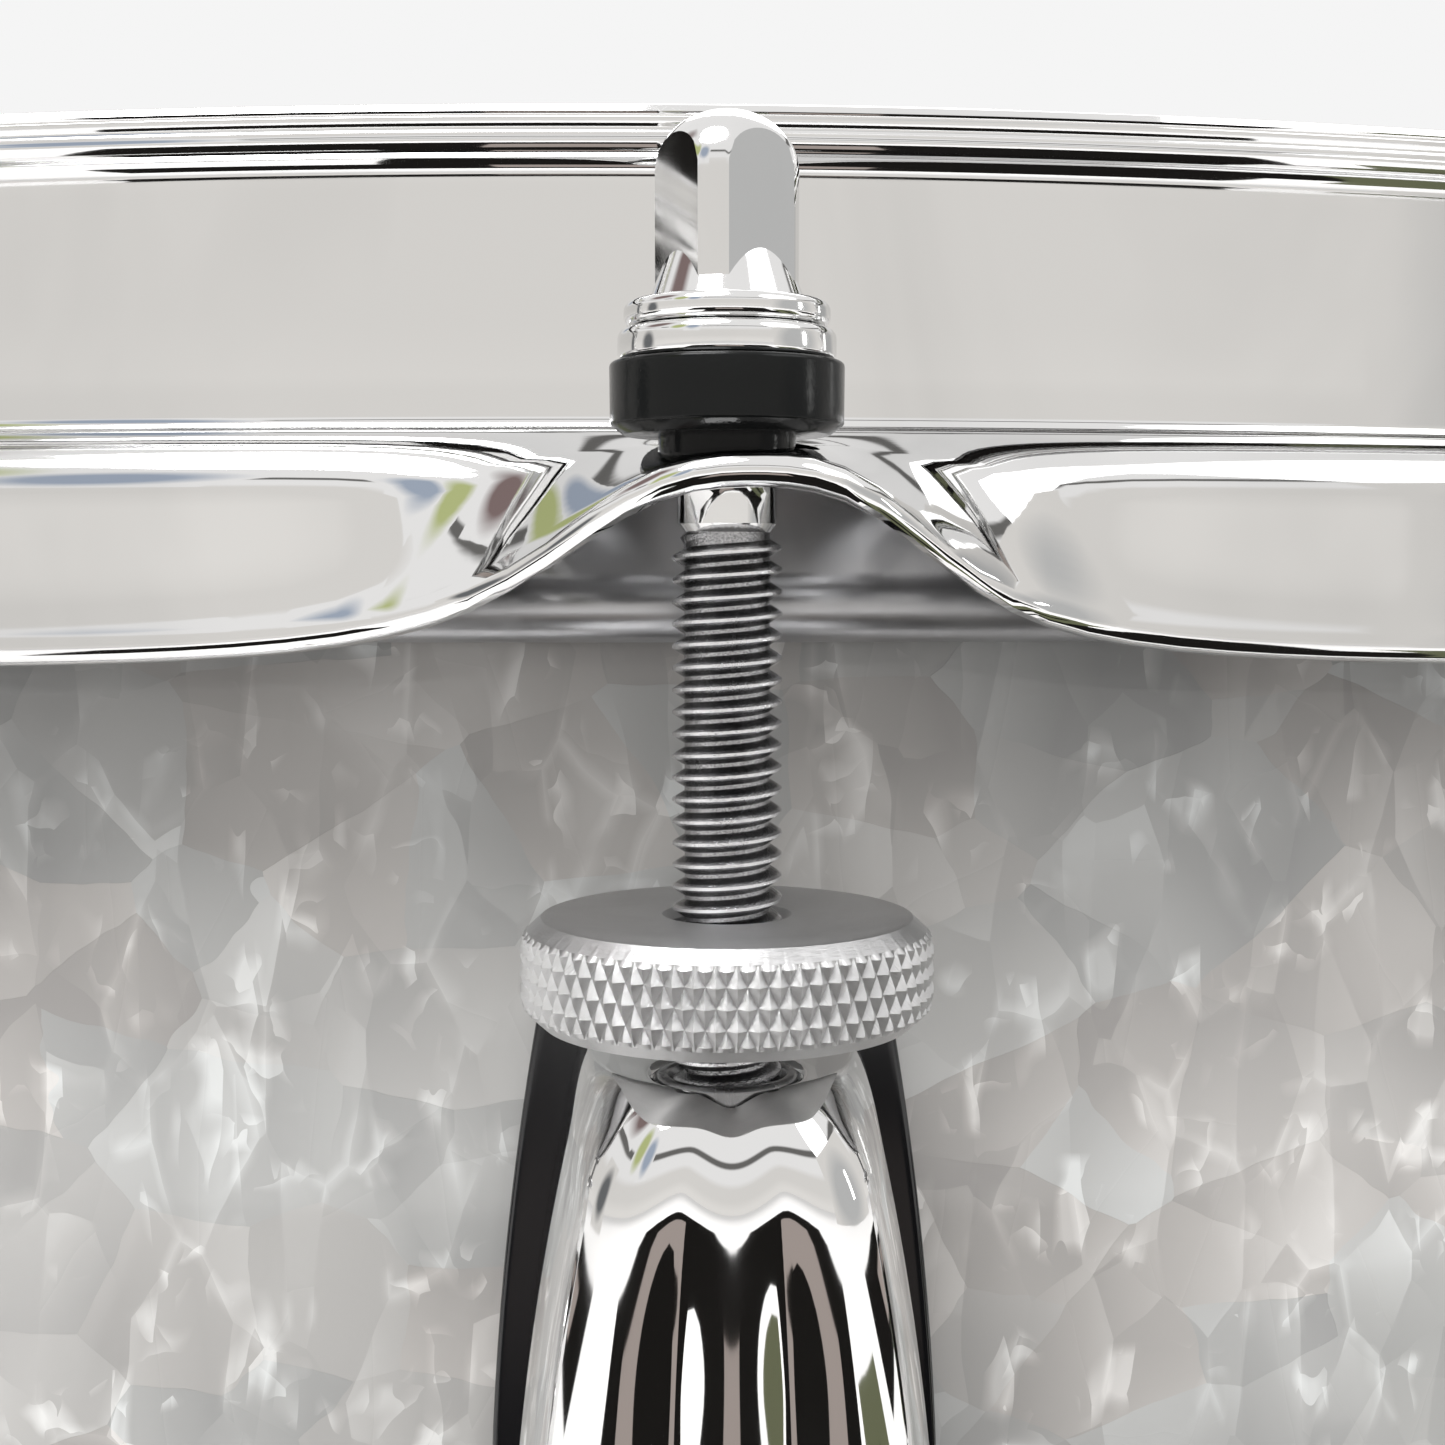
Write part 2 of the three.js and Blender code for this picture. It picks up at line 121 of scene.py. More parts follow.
class ShellSizes(bpy.types.PropertyGroup):
    radius: length(177, "Outside radius of the bare shell")
    wall: length(7, "Thickness of the plies")
    crown: length(1.8, "Bearing edge's crown, in from the outside")
    edge_height: length(10, "Bearing edge below the hoop's rim")
    wrap: length(0.6, "Thickness of the pearl film")
    wrap_stop: length(4, "Bare wood between the wrap and the bearing edge")
    vent_angle: angle(-112.5, "Where the vent grommet sits round the shell")


class HeadSizes(bpy.types.PropertyGroup):
    film: length(0.3, "Thickness of the polyester film")
    collar: length(178.2, "Inside radius of the film's upright collar")
    collar_drop: length(13.5, "How far the collar reaches into the flesh hoop")
    coating_radius: length(168, "Edge of the sprayed coating")
    ring_inner: length(179.2, "Inside radius of the flesh hoop")
    ring_outer: length(185, "Outside radius of the flesh hoop")
    ring_top: length(8.5, "Top of the flesh hoop below the bearing edge")
    ring_height: length(9.3, "Height of the flesh hoop")
    ring_bulge: length(3.7, "Height of the rounded foot of the flesh hoop")


class HoopSizes(bpy.types.PropertyGroup):
    sheet: length(1.6, "Thickness of the pressed steel")
    lip: length(185.4, "Outer edge of the rolled lip")
    wall: length(180, "Middle of the sheet in the upright wall")
    lip_bend: length(2.0, "Bend radius between wall and lip")
    flange_bend: length(1.8, "Bend radius between wall and flange")
    flange_drop: length(17.4, "Middle of the flange sheet below the rim")
    shoulder: length(183.7, "Where the flange starts to turn down")
    skirt: length(186.4, "Middle of the sheet in the skirt")
    skirt_drop: length(28.5, "Skirt's free edge below the rim")
    skirt_curl: length(0.45, "How far the skirt's edge curls out")
    ear: length(198.9, "Free edge of an ear, middle of the sheet")
    ear_seat: length(1.0, "Washer's seat on an ear below the flange")
    ear_dip: length(2.0, "Ear's edge below the flange")
    bead: length(2.5, "Height of the rolled lip's outer face")
    ear_spread: length(12.2, "Half-width of an ear, along the rod circle")
    scallop_spread: length(11.1, "Half-width of the arch in the skirt")
    ear_offset: angle(0.28, "How far the hoop sits turned from the rods")
    hole: length(3.5, "Radius of the hole in an ear")


class LugSizes(bpy.types.PropertyGroup):
    foot: length(179.7, "Flat back of a lug, from the drum's axis")
    half_height: length(31.4, "Half of the casting's length")
    half_width: length(11.2, "Half-width of the foot at mid-length")
    taper: length(4.0, "Half-width lost towards each end")
    crown: length(3.4, "How far in the ends start to roll forward")
    crown_drop: length(6.0, "Height over which the ends roll to the front")
    projection: length(19.4, "How far the ends stand out")
    belly: length(1.2, "Extra projection at mid-length")
    groove: length(1.15, "Depth of the two grooves in the front")
    groove_offset: level(0.275, "Grooves' place, as a share of the half-width")
    boxiness: level(4.0, "How square the front's section is")
    bore: length(3.62, "Radius of the mouth for the swivel nut")
    gasket: length(1.2, "Thickness of the gasket")
    gasket_half_width: length(12.8, "Half-width at mid-length")
    gasket_taper: length(2.9, "Half-width lost towards each end")
    gasket_margin: length(0.9, "Gasket showing beyond the ends")


class RodSizes(bpy.types.PropertyGroup):
    thread: length(2.66, "Crest of the 7/32 inch thread")
    root: length(2.06, "Bottom of the thread")
    pitch: length(1.0583, "24 threads to the inch")
    shank: length(2.38, "Plain shank above the thread")
    shank_length: length(4.9, "Plain shank below the washers' seat")
    reach: length(45.5, "Rod's end below the washers' seat")
    seat: length(-0.3, "Underside of the nylon washer")
    shoulder: length(1.7, "Nylon reaching down into the ear's hole")
    nylon: length(3.15, "Top of the nylon washer")
    nylon_radius: length(5.62, "Outside of the nylon washer")
    metal: length(1.6, "Thickness of the metal washer")
    metal_radius: length(5.22, "Outside of the metal washer")
    collar: length(1.25, "Height of the rounded collar")
    collar_radius: length(4.93, "Outside of the collar")
    cone: length(3.75, "Cone's radius where it leaves the collar")
    cone_slope: level(0.4, "Radius lost per unit of height")
    dome: length(2.9, "Height of the rounded top")
    flats: length(2.88, "Half the size across the head's flats")
    corners: length(3.42, "Turned corners of the square head")
    head_top: length(14.95, "Top of the head above the washers' seat")


class LockNutSizes(bpy.types.PropertyGroup):
    radius: length(10.05, "Outside of the knurl")
    thickness: length(5.2, "Height of the nut")
    top: length(23.35, "Nut's top below the washers' seat")
    chamfer: length(1.02, "Turned chamfers on both edges")
    bore: length(2.7, "Radius of the threaded hole")
    knurl: length(0.34, "Depth of the diamond knurl")
    diamonds: count(65, "Knurl diamonds round the nut")


class StrainerSizes(bpy.types.PropertyGroup):
    back: length(178.3, "Flat back of strainer and butt plate")
    half_width: length(17, "Half-width of the base")
    strap_face: length(189.2, "Inner side of the upright straps")
    strap: length(0.8, "Thickness of a strap")
    half_strap: length(10, "Half-width of a strap")


class SnareSizes(bpy.types.PropertyGroup):
    reach: length(146, "From the drum's axis to the end of an end plate")
    half_width: length(21, "Half-width of the end plates")
    top: length(9.0, "Top of the wires above the rest plane")
    wire: length(0.24, "Radius of the drawn wire")
    coil: length(0.8, "Radius of a coil, to the wire's middle")
    coil_pitch: length(2.0, "Rise of a coil in one turn")
    wires: count(20, "Coils side by side")


class Finishes(bpy.types.PropertyGroup):
    chrome: tint((0.80, 0.80, 0.80), "Polished plate")
    thread_steel: tint((0.50, 0.50, 0.51), "Plated thread")
    aluminium: tint((0.60, 0.60, 0.605), "Turned aluminium")
    ring_metal: tint((0.47, 0.47, 0.48), "Flesh hoop")
    nylon: tint((0.007, 0.0075, 0.0075), "Black washers")
    gasket: tint((0.006, 0.006, 0.007), "Black gaskets")
    pearl_dark: tint((0.355, 0.344, 0.337), "Darkest shards")
    pearl_mid: tint((0.495, 0.481, 0.467), "Most of the pearl")
    pearl_light: tint((0.80, 0.79, 0.775), "Brightest shards")
    coating: tint((0.70, 0.695, 0.675), "Sprayed head coating")
    film: tint((0.80, 0.80, 0.79), "Bare head film")
    maple_light: tint((0.66, 0.45, 0.26), "Early wood")
    maple_dark: tint((0.44, 0.26, 0.13), "Late wood")
    wire: tint((0.62, 0.62, 0.63), "Snare wire")
    strap: tint((0.80, 0.80, 0.77), "Strap plastic")


class StageSettings(bpy.types.PropertyGroup):
    floor: tint((0.66, 0.65, 0.64), "Studio floor")
    backdrop: tint((0.913, 0.913, 0.913), "What shows behind the drum")
    surround: tint((0.805, 0.783, 0.752), "Walls that the chrome sees")
    ceiling: tint((0.95, 0.94, 0.93), "Bright ceiling that the chrome sees")
    card: tint((0.012, 0.011, 0.010), "Dark cards that shape the chrome")
    patch: tint((0.42, 0.36, 0.33), "Warm patches on the dark cards")
    olive: tint((0.16, 0.17, 0.10), "Olive cards beside the dark ones")
    leaf: tint((0.52, 0.57, 0.26), "Hung panels, by colour")
    sky: tint((0.40, 0.46, 0.56), "Hung panels, by colour")
    mauve: tint((0.24, 0.175, 0.17), "Hung panels, by colour")
    grey: tint((0.16, 0.165, 0.17), "Hung panels, by colour")
    pale: tint((0.56, 0.56, 0.555), "Hung panels, by colour")
    camera_place: bpy.props.FloatVectorProperty(
        description="Where the camera stands",
        default=(-0.0045, -0.2897, 0.1358),
        size=3,
        subtype="XYZ",
        unit="LENGTH",
    )
    camera_tilt: angle(-4.36, "Camera's pitch, up is positive")
    camera_turn: angle(-2.55, "Camera's heading from +Y, left is positive")
    lens: bpy.props.FloatProperty(
        description="Focal length", default=49.8, subtype="DISTANCE_CAMERA"
    )


class SnareDrumSettings(bpy.types.PropertyGroup):
    shell: bpy.props.PointerProperty(type=ShellSizes)
    head: bpy.props.PointerProperty(type=HeadSizes)
    hoop: bpy.props.PointerProperty(type=HoopSizes)
    lug: bpy.props.PointerProperty(type=LugSizes)
    rod: bpy.props.PointerProperty(type=RodSizes)
    nut: bpy.props.PointerProperty(type=LockNutSizes)
    strainer: bpy.props.PointerProperty(type=StrainerSizes)
    snares: bpy.props.PointerProperty(type=SnareSizes)
    finish: bpy.props.PointerProperty(type=Finishes)
    stage: bpy.props.PointerProperty(type=StageSettings)


# ------------------------------------------------------------------ modelling helpers


def only(obj):
    bpy.ops.object.select_all(action="DESELECT")
    obj.select_set(True)
    bpy.context.view_layer.objects.active = obj
    return obj


@contextmanager
def editing(obj, select="SELECT"):
    """Edit mode on one object with everything, or nothing, selected."""
    only(obj)
    bpy.ops.object.mode_set(mode="EDIT")
    bpy.ops.mesh.select_all(action=select)
    yield
    bpy.ops.object.mode_set(mode="OBJECT")


def named(obj, name):
    obj.name = obj.data.name = name
    return obj


def settled(obj):
    """Moves the object's place into its mesh."""
    only(obj)
    bpy.ops.object.transform_apply(location=True, rotation=True, scale=True)
    return obj


def cleaned(obj):
    with editing(obj):
        bpy.ops.mesh.remove_doubles(threshold=1e-6)
        bpy.ops.mesh.normals_make_consistent(inside=False)
    return obj


def capped(obj):
    """Closes an open mesh's ends and turns its faces outwards."""
    with editing(obj, "DESELECT"):
        bpy.ops.mesh.select_non_manifold()
        bpy.ops.mesh.fill_holes(sides=0)
        bpy.ops.mesh.select_all(action="SELECT")
        bpy.ops.mesh.normals_make_consistent(inside=False)
    return obj


def inset_where(obj, test, thickness, depth=0.0):
    """Insets the faces whose centre and normal pass a test."""
    for part in (obj.data.vertices, obj.data.edges, obj.data.polygons):
        part.foreach_set("select", [False] * len(part))
    for face in obj.data.polygons:
        face.select = test(face.center, face.normal)
    only(obj)
    bpy.ops.object.mode_set(mode="EDIT")
    bpy.ops.mesh.inset(thickness=thickness, depth=depth)
    bpy.ops.object.mode_set(mode="OBJECT")


def removed(*objects):
    for obj in objects:
        bpy.data.objects.remove(obj)


def modify(obj, kind, **values):
    """Adds a modifier, sets it and applies it."""
    only(obj)
    modifier = obj.modifiers.new(kind.title(), kind)
    for key, value in values.items():
        setattr(modifier, key, value)
    bpy.ops.object.modifier_apply(modifier=modifier.name)
    return obj


def wound(obj, axis, pitch, turns, steps):
    """Winds a ring of vertices into a helix with closed ends."""
    size = {"screw_offset": pitch, "iterations": turns, "steps": steps, "render_steps": steps}
    return capped(modify(obj, "SCREW", axis=axis, angle=TURN, **size))


def soften(obj, width, segments=2, limit=35):
    return modify(
        obj,
        "BEVEL",
        width=width,
        segments=segments,
        limit_method="ANGLE",
        angle_limit=math.radians(limit),
        use_clamp_overlap=True,
    )


def spun(name, outline, steps, closed=True):
    """Walks one vertex along an outline of (radius, height) and spins the line round Z."""
    bpy.ops.object.select_all(action="DESELECT")
    radius, height = outline[0]
    bpy.ops.mesh.primitive_plane_add(size=MM, location=(radius, 0, height))
    obj = settled(named(bpy.context.object, name))
    stops = [*outline[1:], outline[0]] if closed else outline[1:]
    with editing(obj):
        bpy.ops.mesh.merge(type="CENTER")
        for next_radius, next_height in stops:
            step = (next_radius - radius, 0, next_height - height)
            bpy.ops.mesh.extrude_region_move(TRANSFORM_OT_translate={"value": step})
            radius, height = next_radius, next_height
        bpy.ops.mesh.select_all(action="SELECT")
        bpy.ops.mesh.remove_doubles(threshold=1e-7)
        bpy.ops.mesh.select_all(action="SELECT")
        bpy.ops.mesh.spin(steps=steps, angle=TURN, center=(0, 0, 0), axis=(0, 0, 1))
    return cleaned(obj)


def shaped_grid(name, columns, rows, place):
    """A flat grid whose vertices go to place(u, v); meeting edges and poles are merged."""
    bpy.ops.object.select_all(action="DESELECT")
    bpy.ops.mesh.primitive_grid_add(x_subdivisions=columns, y_subdivisions=rows, size=2)
    obj = named(bpy.context.object, name)
    for vertex in obj.data.vertices:
        vertex.co = place((vertex.co.x + 1) / 2, (vertex.co.y + 1) / 2)
    return cleaned(obj)


def flat_face(name, points, fill="NGON"):
    """A flat face, or with no fill a bare ring, through the given points."""
    bpy.ops.object.select_all(action="DESELECT")
    bpy.ops.mesh.primitive_circle_add(vertices=len(points), fill_type=fill)
    obj = named(bpy.context.object, name)
    for vertex, point in zip(obj.data.vertices, points):
        vertex.co = point
    return obj


def cut_plate(name, outline, half_width, edge=0.0, segments=3):
    """A flat plate of the given (x, z) outline, extruded across Y, its edges rounded."""
    obj = flat_face(name, [(x, -half_width, z) for x, z in outline])
    with editing(obj):
        bpy.ops.mesh.extrude_region_move(
            TRANSFORM_OT_translate={"value": (0, 2 * half_width, 0)}
        )
        bpy.ops.mesh.select_all(action="SELECT")
        bpy.ops.mesh.normals_make_consistent(inside=False)
    return soften(obj, edge, segments, 25) if edge else obj


def cut_block(name, low, high, edge=0.0, segments=3):
    bpy.ops.object.select_all(action="DESELECT")
    low, high = Vector(low), Vector(high)
    bpy.ops.mesh.primitive_cube_add(size=1, location=(low + high) / 2, scale=high - low)
    obj = settled(named(bpy.context.object, name))
    return soften(obj, edge, segments) if edge else obj


def cut_away(obj, *tools):
    for tool in tools:
        modify(obj, "BOOLEAN", operation="DIFFERENCE", solver="EXACT", object=tool)
        removed(tool)
    return obj


def joined(first, *others):
    only(first)
    for other in others:
        other.select_set(True)
    bpy.ops.object.join()
    return first


def bar(name, radius, start, end, sides=48):
    """A closed round bar between two points."""
    start, end = Vector(start), Vector(end)
    bpy.ops.object.select_all(action="DESELECT")
    bpy.ops.mesh.primitive_cylinder_add(
        vertices=sides, radius=radius, depth=(end - start).length, location=(start + end) / 2
    )
    obj = named(bpy.context.object, name)
    obj.rotation_mode = "QUATERNION"
    obj.rotation_quaternion = (end - start).to_track_quat("Z", "Y")
    return settled(obj)


def copy_of(source, name, matrix):
    obj = source.copy()
    obj.data = source.data.copy()
    bpy.context.collection.objects.link(obj)
    obj.data.transform(matrix)
    return named(obj, name)


def finished(obj, body, slot, *materials, smooth=35, stands_for=()):
    """Shades a piece, gives it its finish and seats it on its body."""
    only(obj)
    bpy.ops.object.shade_smooth_by_angle(angle=math.radians(smooth))
    if materials:
        obj.data.materials.clear()
        for material in materials:
            obj.data.materials.append(material)
    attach(obj, body)
    if stands_for:
        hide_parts(*stands_for)
    return obj


def arc(centre, radius, start, end, steps):
    """Points on an arc, angles in degrees, both ends included."""
    return [
        (
            centre[0] + radius * math.cos(math.radians(start + (end - start) * i / steps)),
            centre[1] + radius * math.sin(math.radians(start + (end - start) * i / steps)),
        )
        for i in range(steps + 1)
    ]


def rounded(corners, steps=4):
    """An outline whose corners are (x, y, radius), each turned into an arc of that radius."""
    points = []
    for i, (x, y, radius) in enumerate(corners):
        corner = Vector((x, y))
        if radius == 0:
            points.append((x, y))
            continue
        before = (Vector(corners[i - 1][:2]) - corner).normalized()
        after = (Vector(corners[(i + 1) % len(corners)][:2]) - corner).normalized()
        half = before.angle(after) / 2
        centre = corner + (before + after).normalized() * (radius / math.sin(half))
        start = corner + before * (radius / math.tan(half)) - centre
        end = corner + after * (radius / math.tan(half)) - centre
        for step in range(steps + 1):
            spoke = start.slerp(end, step / steps).normalized() * radius
            points.append(tuple(centre + spoke))
    return points


def in_mm(points):
    return [(x * MM, y * MM) for x, y in points]


def mixed(a, b, share):
    return a + (b - a) * share


def eased(value):
    value = min(1.0, max(0.0, value))
    return value * value * (3 - 2 * value)


def at_station(index, height=0.0, flipped=False):
    """From the local frame, +X outwards and the seat at zero, to a station of the drum."""
    turn = Matrix.Rotation(station_angle(index), 4, "Z")
    shift = Matrix.Translation((ROD_CIRCLE, 0, height))
    flip = Matrix.Rotation(math.pi if flipped else 0, 4, "X")
    return turn @ shift @ flip


# ------------------------------------------------------------------ node helpers


def feed(tree, node, values):
    """Sets a node's inputs; a value that is a socket is linked instead."""
    for key, value in dict(values).items():
        if isinstance(value, bpy.types.NodeSocket):
            tree.links.new(value, node.inputs[key])
        else:
            node.inputs[key].default_value = value


def add(tree, kind, values=(), **settings):
    node = tree.nodes.new("ShaderNode" + kind)
    for key, value in settings.items():
        setattr(node, key, value)
    feed(tree, node, values)
    return node


def math_of(tree, operation, a, b, clamp=False):
    return add(tree, "Math", {0: a, 1: b}, operation=operation, use_clamp=clamp).outputs[0]


def product(tree, a, b):
    return math_of(tree, "MULTIPLY", a, b)


def vector_of(tree, operation, a, b):
    return add(tree, "VectorMath", {0: a, 1: b}, operation=operation).outputs


def noise(tree, vector, scale, detail=1.0, roughness=0.5, distortion=0.0, **settings):
    values = {"Vector": vector, "Scale": scale, "Detail": detail, "Roughness": roughness}
    values["Distortion"] = distortion
    return add(tree, "TexNoise", values, **settings).outputs["Fac"]


def ramp(tree, source, *stops):
    node = add(tree, "ValToRGB", {"Fac": source})
    elements = node.color_ramp.elements
    while len(elements) < len(stops):
        elements.new(0.5)
    for element, (place, colour) in zip(elements, stops):
        element.position = place
        element.color = (*colour, 1)
    return node.outputs["Color"]


def span(tree, source, low, high):
    """Stretches a value of 0 to 1 to the range low to high."""
    values = {"Value": source, "To Min": low, "To Max": high}
    return add(tree, "MapRange", values).outputs["Result"]


def between(tree, source, low, high):
    """How far a value has come from low, at 0, to high, at 1."""
    values = {"Value": source, "From Min": low, "From Max": high}
    return add(tree, "MapRange", values).outputs["Result"]


def group(name, inputs, outputs, build):
    """A shader node group, built once and found again by name."""
    if name in bpy.data.node_groups:
        return bpy.data.node_groups[name]
    tree = bpy.data.node_groups.new(name, "ShaderNodeTree")
    tree.interface.new_socket("Vector", in_out="INPUT", socket_type="NodeSocketVector")
    for key, default in inputs.items():
        socket = tree.interface.new_socket(key, in_out="INPUT", socket_type="NodeSocketFloat")
        socket.default_value = default
    for key in outputs:
        tree.interface.new_socket(key, in_out="OUTPUT", socket_type="NodeSocketFloat")
    source = tree.nodes.new("NodeGroupInput")
    target = tree.nodes.new("NodeGroupOutput")
    feed(tree, target, build(tree, source.outputs))
    return tree


def use(tree, made, **values):
    node = tree.nodes.new("ShaderNodeGroup")
    node.node_tree = made
    feed(tree, node, {key.title(): value for key, value in values.items()})
    return node.outputs


def handling_group():
    """Faint wipe marks and fingering: a mask for roughness and a fine height."""

    def build(tree, source):
        smear = add(tree, "Mapping", {"Vector": source["Vector"], "Scale": (1, 1, 0.35)})
        wide = noise(tree, smear.outputs[0], source["Scale"], 4.0, 0.6, 0.8)
        fine = noise(tree, source["Vector"], product(tree, source["Scale"], 22.0), 2.0)
        return {"Mask": between(tree, wide, 0.45, 0.72), "Height": fine}

    return group("Handling Marks", {"Scale": 40.0}, ["Mask", "Height"], build)


def turning_group():
    """Tool marks left by a lathe, read from a map of (share of a turn, radius)."""

    def build(tree, source):
        stretched = add(tree, "Mapping", {"Vector": source["Vector"], "Scale": (3, 1, 1)})
        spread = stretched.outputs[0]
        rings = noise(tree, spread, source["Scale"], 5.0, 0.75, noise_dimensions="2D")
        return {"Height": rings}

    return group("Turning Marks", {"Scale": 1.0}, ["Height"], build)


def shard_group():
    """One layer of pearl shards: angular cells shaded across, and the creases between them."""

    def build(tree, source):
        middle = (0.5, 0.5, 0.5)
        warp = add(tree, "TexNoise", {"Vector": source["Vector"], "Scale": 150.0, "Detail": 2.0})
        centred = vector_of(tree, "SUBTRACT", warp.outputs["Color"], middle)[0]
        strength = {0: centred, "Scale": source["Warp"]}
        pushed = add(tree, "VectorMath", strength, operation="SCALE").outputs[0]
        moved = vector_of(tree, "ADD", source["Vector"], pushed)[0]
        spread = {"Vector": moved, "Scale": source["Scale"], "Randomness": 1.0}
        cells = add(tree, "TexVoronoi", spread).outputs
        edges = add(tree, "TexVoronoi", spread, feature="DISTANCE_TO_EDGE").outputs
        shade = add(tree, "SeparateColor", {0: cells["Color"]}).outputs
        from_seed = vector_of(tree, "SUBTRACT", moved, cells["Position"])[0]
        heading = vector_of(tree, "SUBTRACT", cells["Color"], middle)[0]
        slope = vector_of(tree, "DOT_PRODUCT", from_seed, heading)["Value"]
        run = product(tree, product(tree, slope, source["Scale"]), 1.7)
        total = math_of(tree, "ADD", run, product(tree, shade[0], 0.4))
        return {
            "Shade": math_of(tree, "ADD", total, 0.3, clamp=True),
            "Crease": between(tree, edges["Distance"], 0.09, 0.0),
            "Hue": shade[1],
        }

    outputs = ["Shade", "Crease", "Hue"]
    return group("Pearl Shards", {"Scale": 100.0, "Warp": 0.006}, outputs, build)


def material(name, metallic=0.0, roughness=0.5, sockets=()):
    """A Principled material; returns it with its tree, its shader and its object coordinates."""
    made = bpy.data.materials.new(name)
    made.use_nodes = True
    tree = made.node_tree
    shader = tree.nodes["Principled BSDF"]
    feed(tree, shader, {"Metallic": metallic, "Roughness": roughness, **dict(sockets)})
    return made, tree, shader, add(tree, "TexCoord").outputs["Object"]


def coated(tree, shader, tone, roughness, height, distance, strength=1.0):
    """Gives a shader its varying colour, roughness and bump."""
    bump = add(tree, "Bump", {"Height": height, "Distance": distance, "Strength": strength})
    normal = bump.outputs["Normal"]
    feed(tree, shader, {"Base Color": tone, "Roughness": roughness, "Normal": normal})


def shaded(colour, share):
    return tuple(channel * share for channel in colour)


def chrome_material(name, colour, clean=0.035, worn=0.085, ripple=6e-6, scale=38.0, smudge=0.95):
    """Bright plate: clear reflections, dulled a little where it has been handled."""
    made, tree, shader, place = material(name, metallic=1.0)
    marks = use(tree, handling_group(), vector=place, scale=scale)
    tone = ramp(tree, marks["Mask"], (0, colour), (1, shaded(colour, smudge)))
    roughness = span(tree, marks["Mask"], clean, worn)
    coated(tree, shader, tone, roughness, noise(tree, place, 90.0), ripple)
    return made


def thread_material(colour):
    """Plated thread: painted highlights along its crest and its bottom, darker colour on the flanks
    between.
    """
    made, tree, shader, place = material("thread_steel", metallic=1.0)
    stand = add(tree, "Attribute", attribute_name="stand").outputs["Fac"]
    marks = use(tree, handling_group(), vector=place, scale=420.0)
    level = math_of(tree, "ADD", stand, product(tree, marks["Height"], 0.34))
    # painted highlights on the crest and the bottom of the thread, darker colour on its flanks
    painted_sheen_shares = ((0.12, 0.9), (0.34, 0.22), (0.80, 0.34), (1.0, 1.5))
    tone = ramp(tree, level, *[(height, shaded(colour, share)) for height, share in painted_sheen_shares])
    roughness = span(tree, marks["Mask"], 0.16, 0.34)
    coated(tree, shader, tone, roughness, marks["Height"], 0.00003)
    return made


def turned_material(name, colour, low, high, grain, scale):
    """Turned metal: fine rings from the tool, following the piece's own map."""
    made, tree, shader, place = material(name, metallic=1.0)
    mapped = add(tree, "UVMap", uv_map="turning").outputs["UV"]
    rings = use(tree, turning_group(), vector=mapped, scale=scale)["Height"]
    marks = use(tree, handling_group(), vector=place, scale=120.0)
    tone = ramp(tree, marks["Mask"], (0, colour), (1, shaded(colour, 0.86)))
    coated(tree, shader, tone, span(tree, rings, low, high), rings, grain)
    return made


def plastic_material(name, colour, low, high, grain=1e-5, scale=160.0, sockets=()):
    """Moulded or sheet plastic with a faint grain and patches of dulled gloss."""
    made, tree, shader, place = material(name, sockets=sockets)
    marks = use(tree, handling_group(), vector=place, scale=scale)
    tone = ramp(tree, marks["Mask"], (0, colour), (1, shaded(colour, 1.12)))
    coated(tree, shader, tone, span(tree, marks["Mask"], low, high), marks["Height"], grain)
    return made


def pearl_material(finish):
    """White pearl film: layers of shards, bright slivers and creases under a polished face."""
    gloss = {"Coat Weight": 0.6, "Coat Roughness": 0.06}
    made, tree, shader, place = material("marine_pearl", roughness=0.3, sockets=gloss)

    def layer(scale, warp, turn, stretch):
        turned = add(tree, "Mapping", {"Vector": place, "Rotation": turn, "Scale": stretch})
        return use(tree, shard_group(), vector=turned.outputs[0], scale=scale, warp=warp)

    broad = layer(95.0, 0.0016, (0.4, 0.1, 0.7), (1, 1, 1.3))
    middle = layer(190.0, 0.0014, (1.1, 0.6, -0.5), (1.2, 0.9, 0.6))
    slivers = layer(230.0, 0.005, (0.9, -0.6, 0.3), (1.7, 1.5, 0.5))
    flecks = layer(260.0, 0.005, (-0.8, 0.7, 1.2), (1.6, 0.5, 1.5))
    some = between(tree, noise(tree, place, 210.0), 0.5, 0.62)
    total = product(tree, broad["Shade"], 0.26)
    for value, weight in (
        (middle["Shade"], 0.24),
        (noise(tree, place, 38.0), 0.42),
        (product(tree, between(tree, slivers["Shade"], 0.66, 0.95), some), 0.34),
        (product(tree, between(tree, flecks["Shade"], 0.7, 0.98), some), 0.3),
        (product(tree, middle["Crease"], some), 0.16),
    ):
        total = math_of(tree, "ADD", total, product(tree, value, weight))
    stops = ((0.22, finish.pearl_dark), (0.52, finish.pearl_mid), (0.92, finish.pearl_light))
    tone = ramp(tree, total, *stops)
    hue = ramp(tree, broad["Hue"], (0.3, (0.97, 0.995, 1.0)), (0.7, (1.0, 0.985, 0.97)))
    colours = {"Factor": 1.0, 6: tone, 7: hue}
    tinted = add(tree, "Mix", colours, data_type="RGBA", blend_type="MULTIPLY").outputs[2]
    roughness = span(tree, middle["Shade"], 0.4, 0.2)
    coated(tree, shader, tinted, roughness, broad["Shade"], 0.00002)
    return made


def wood_material(finish):
    """Lacquered maple: long grain round the shell, with pores."""
    lacquer = {"Coat Weight": 0.35, "Coat Roughness": 0.2}
    made, tree, shader, place = material("maple_plies", sockets=lacquer)
    stretched = add(tree, "Mapping", {"Vector": place, "Scale": (1, 1, 9)})
    grain = noise(tree, stretched.outputs[0], 42.0, 7.0, 0.62)
    pores = noise(tree, place, 900.0, 2.0)
    tone = ramp(tree, grain, (0.3, finish.maple_dark), (0.62, finish.maple_light))
    coated(tree, shader, tone, span(tree, pores, 0.3, 0.55), pores, 0.00003)
    return made


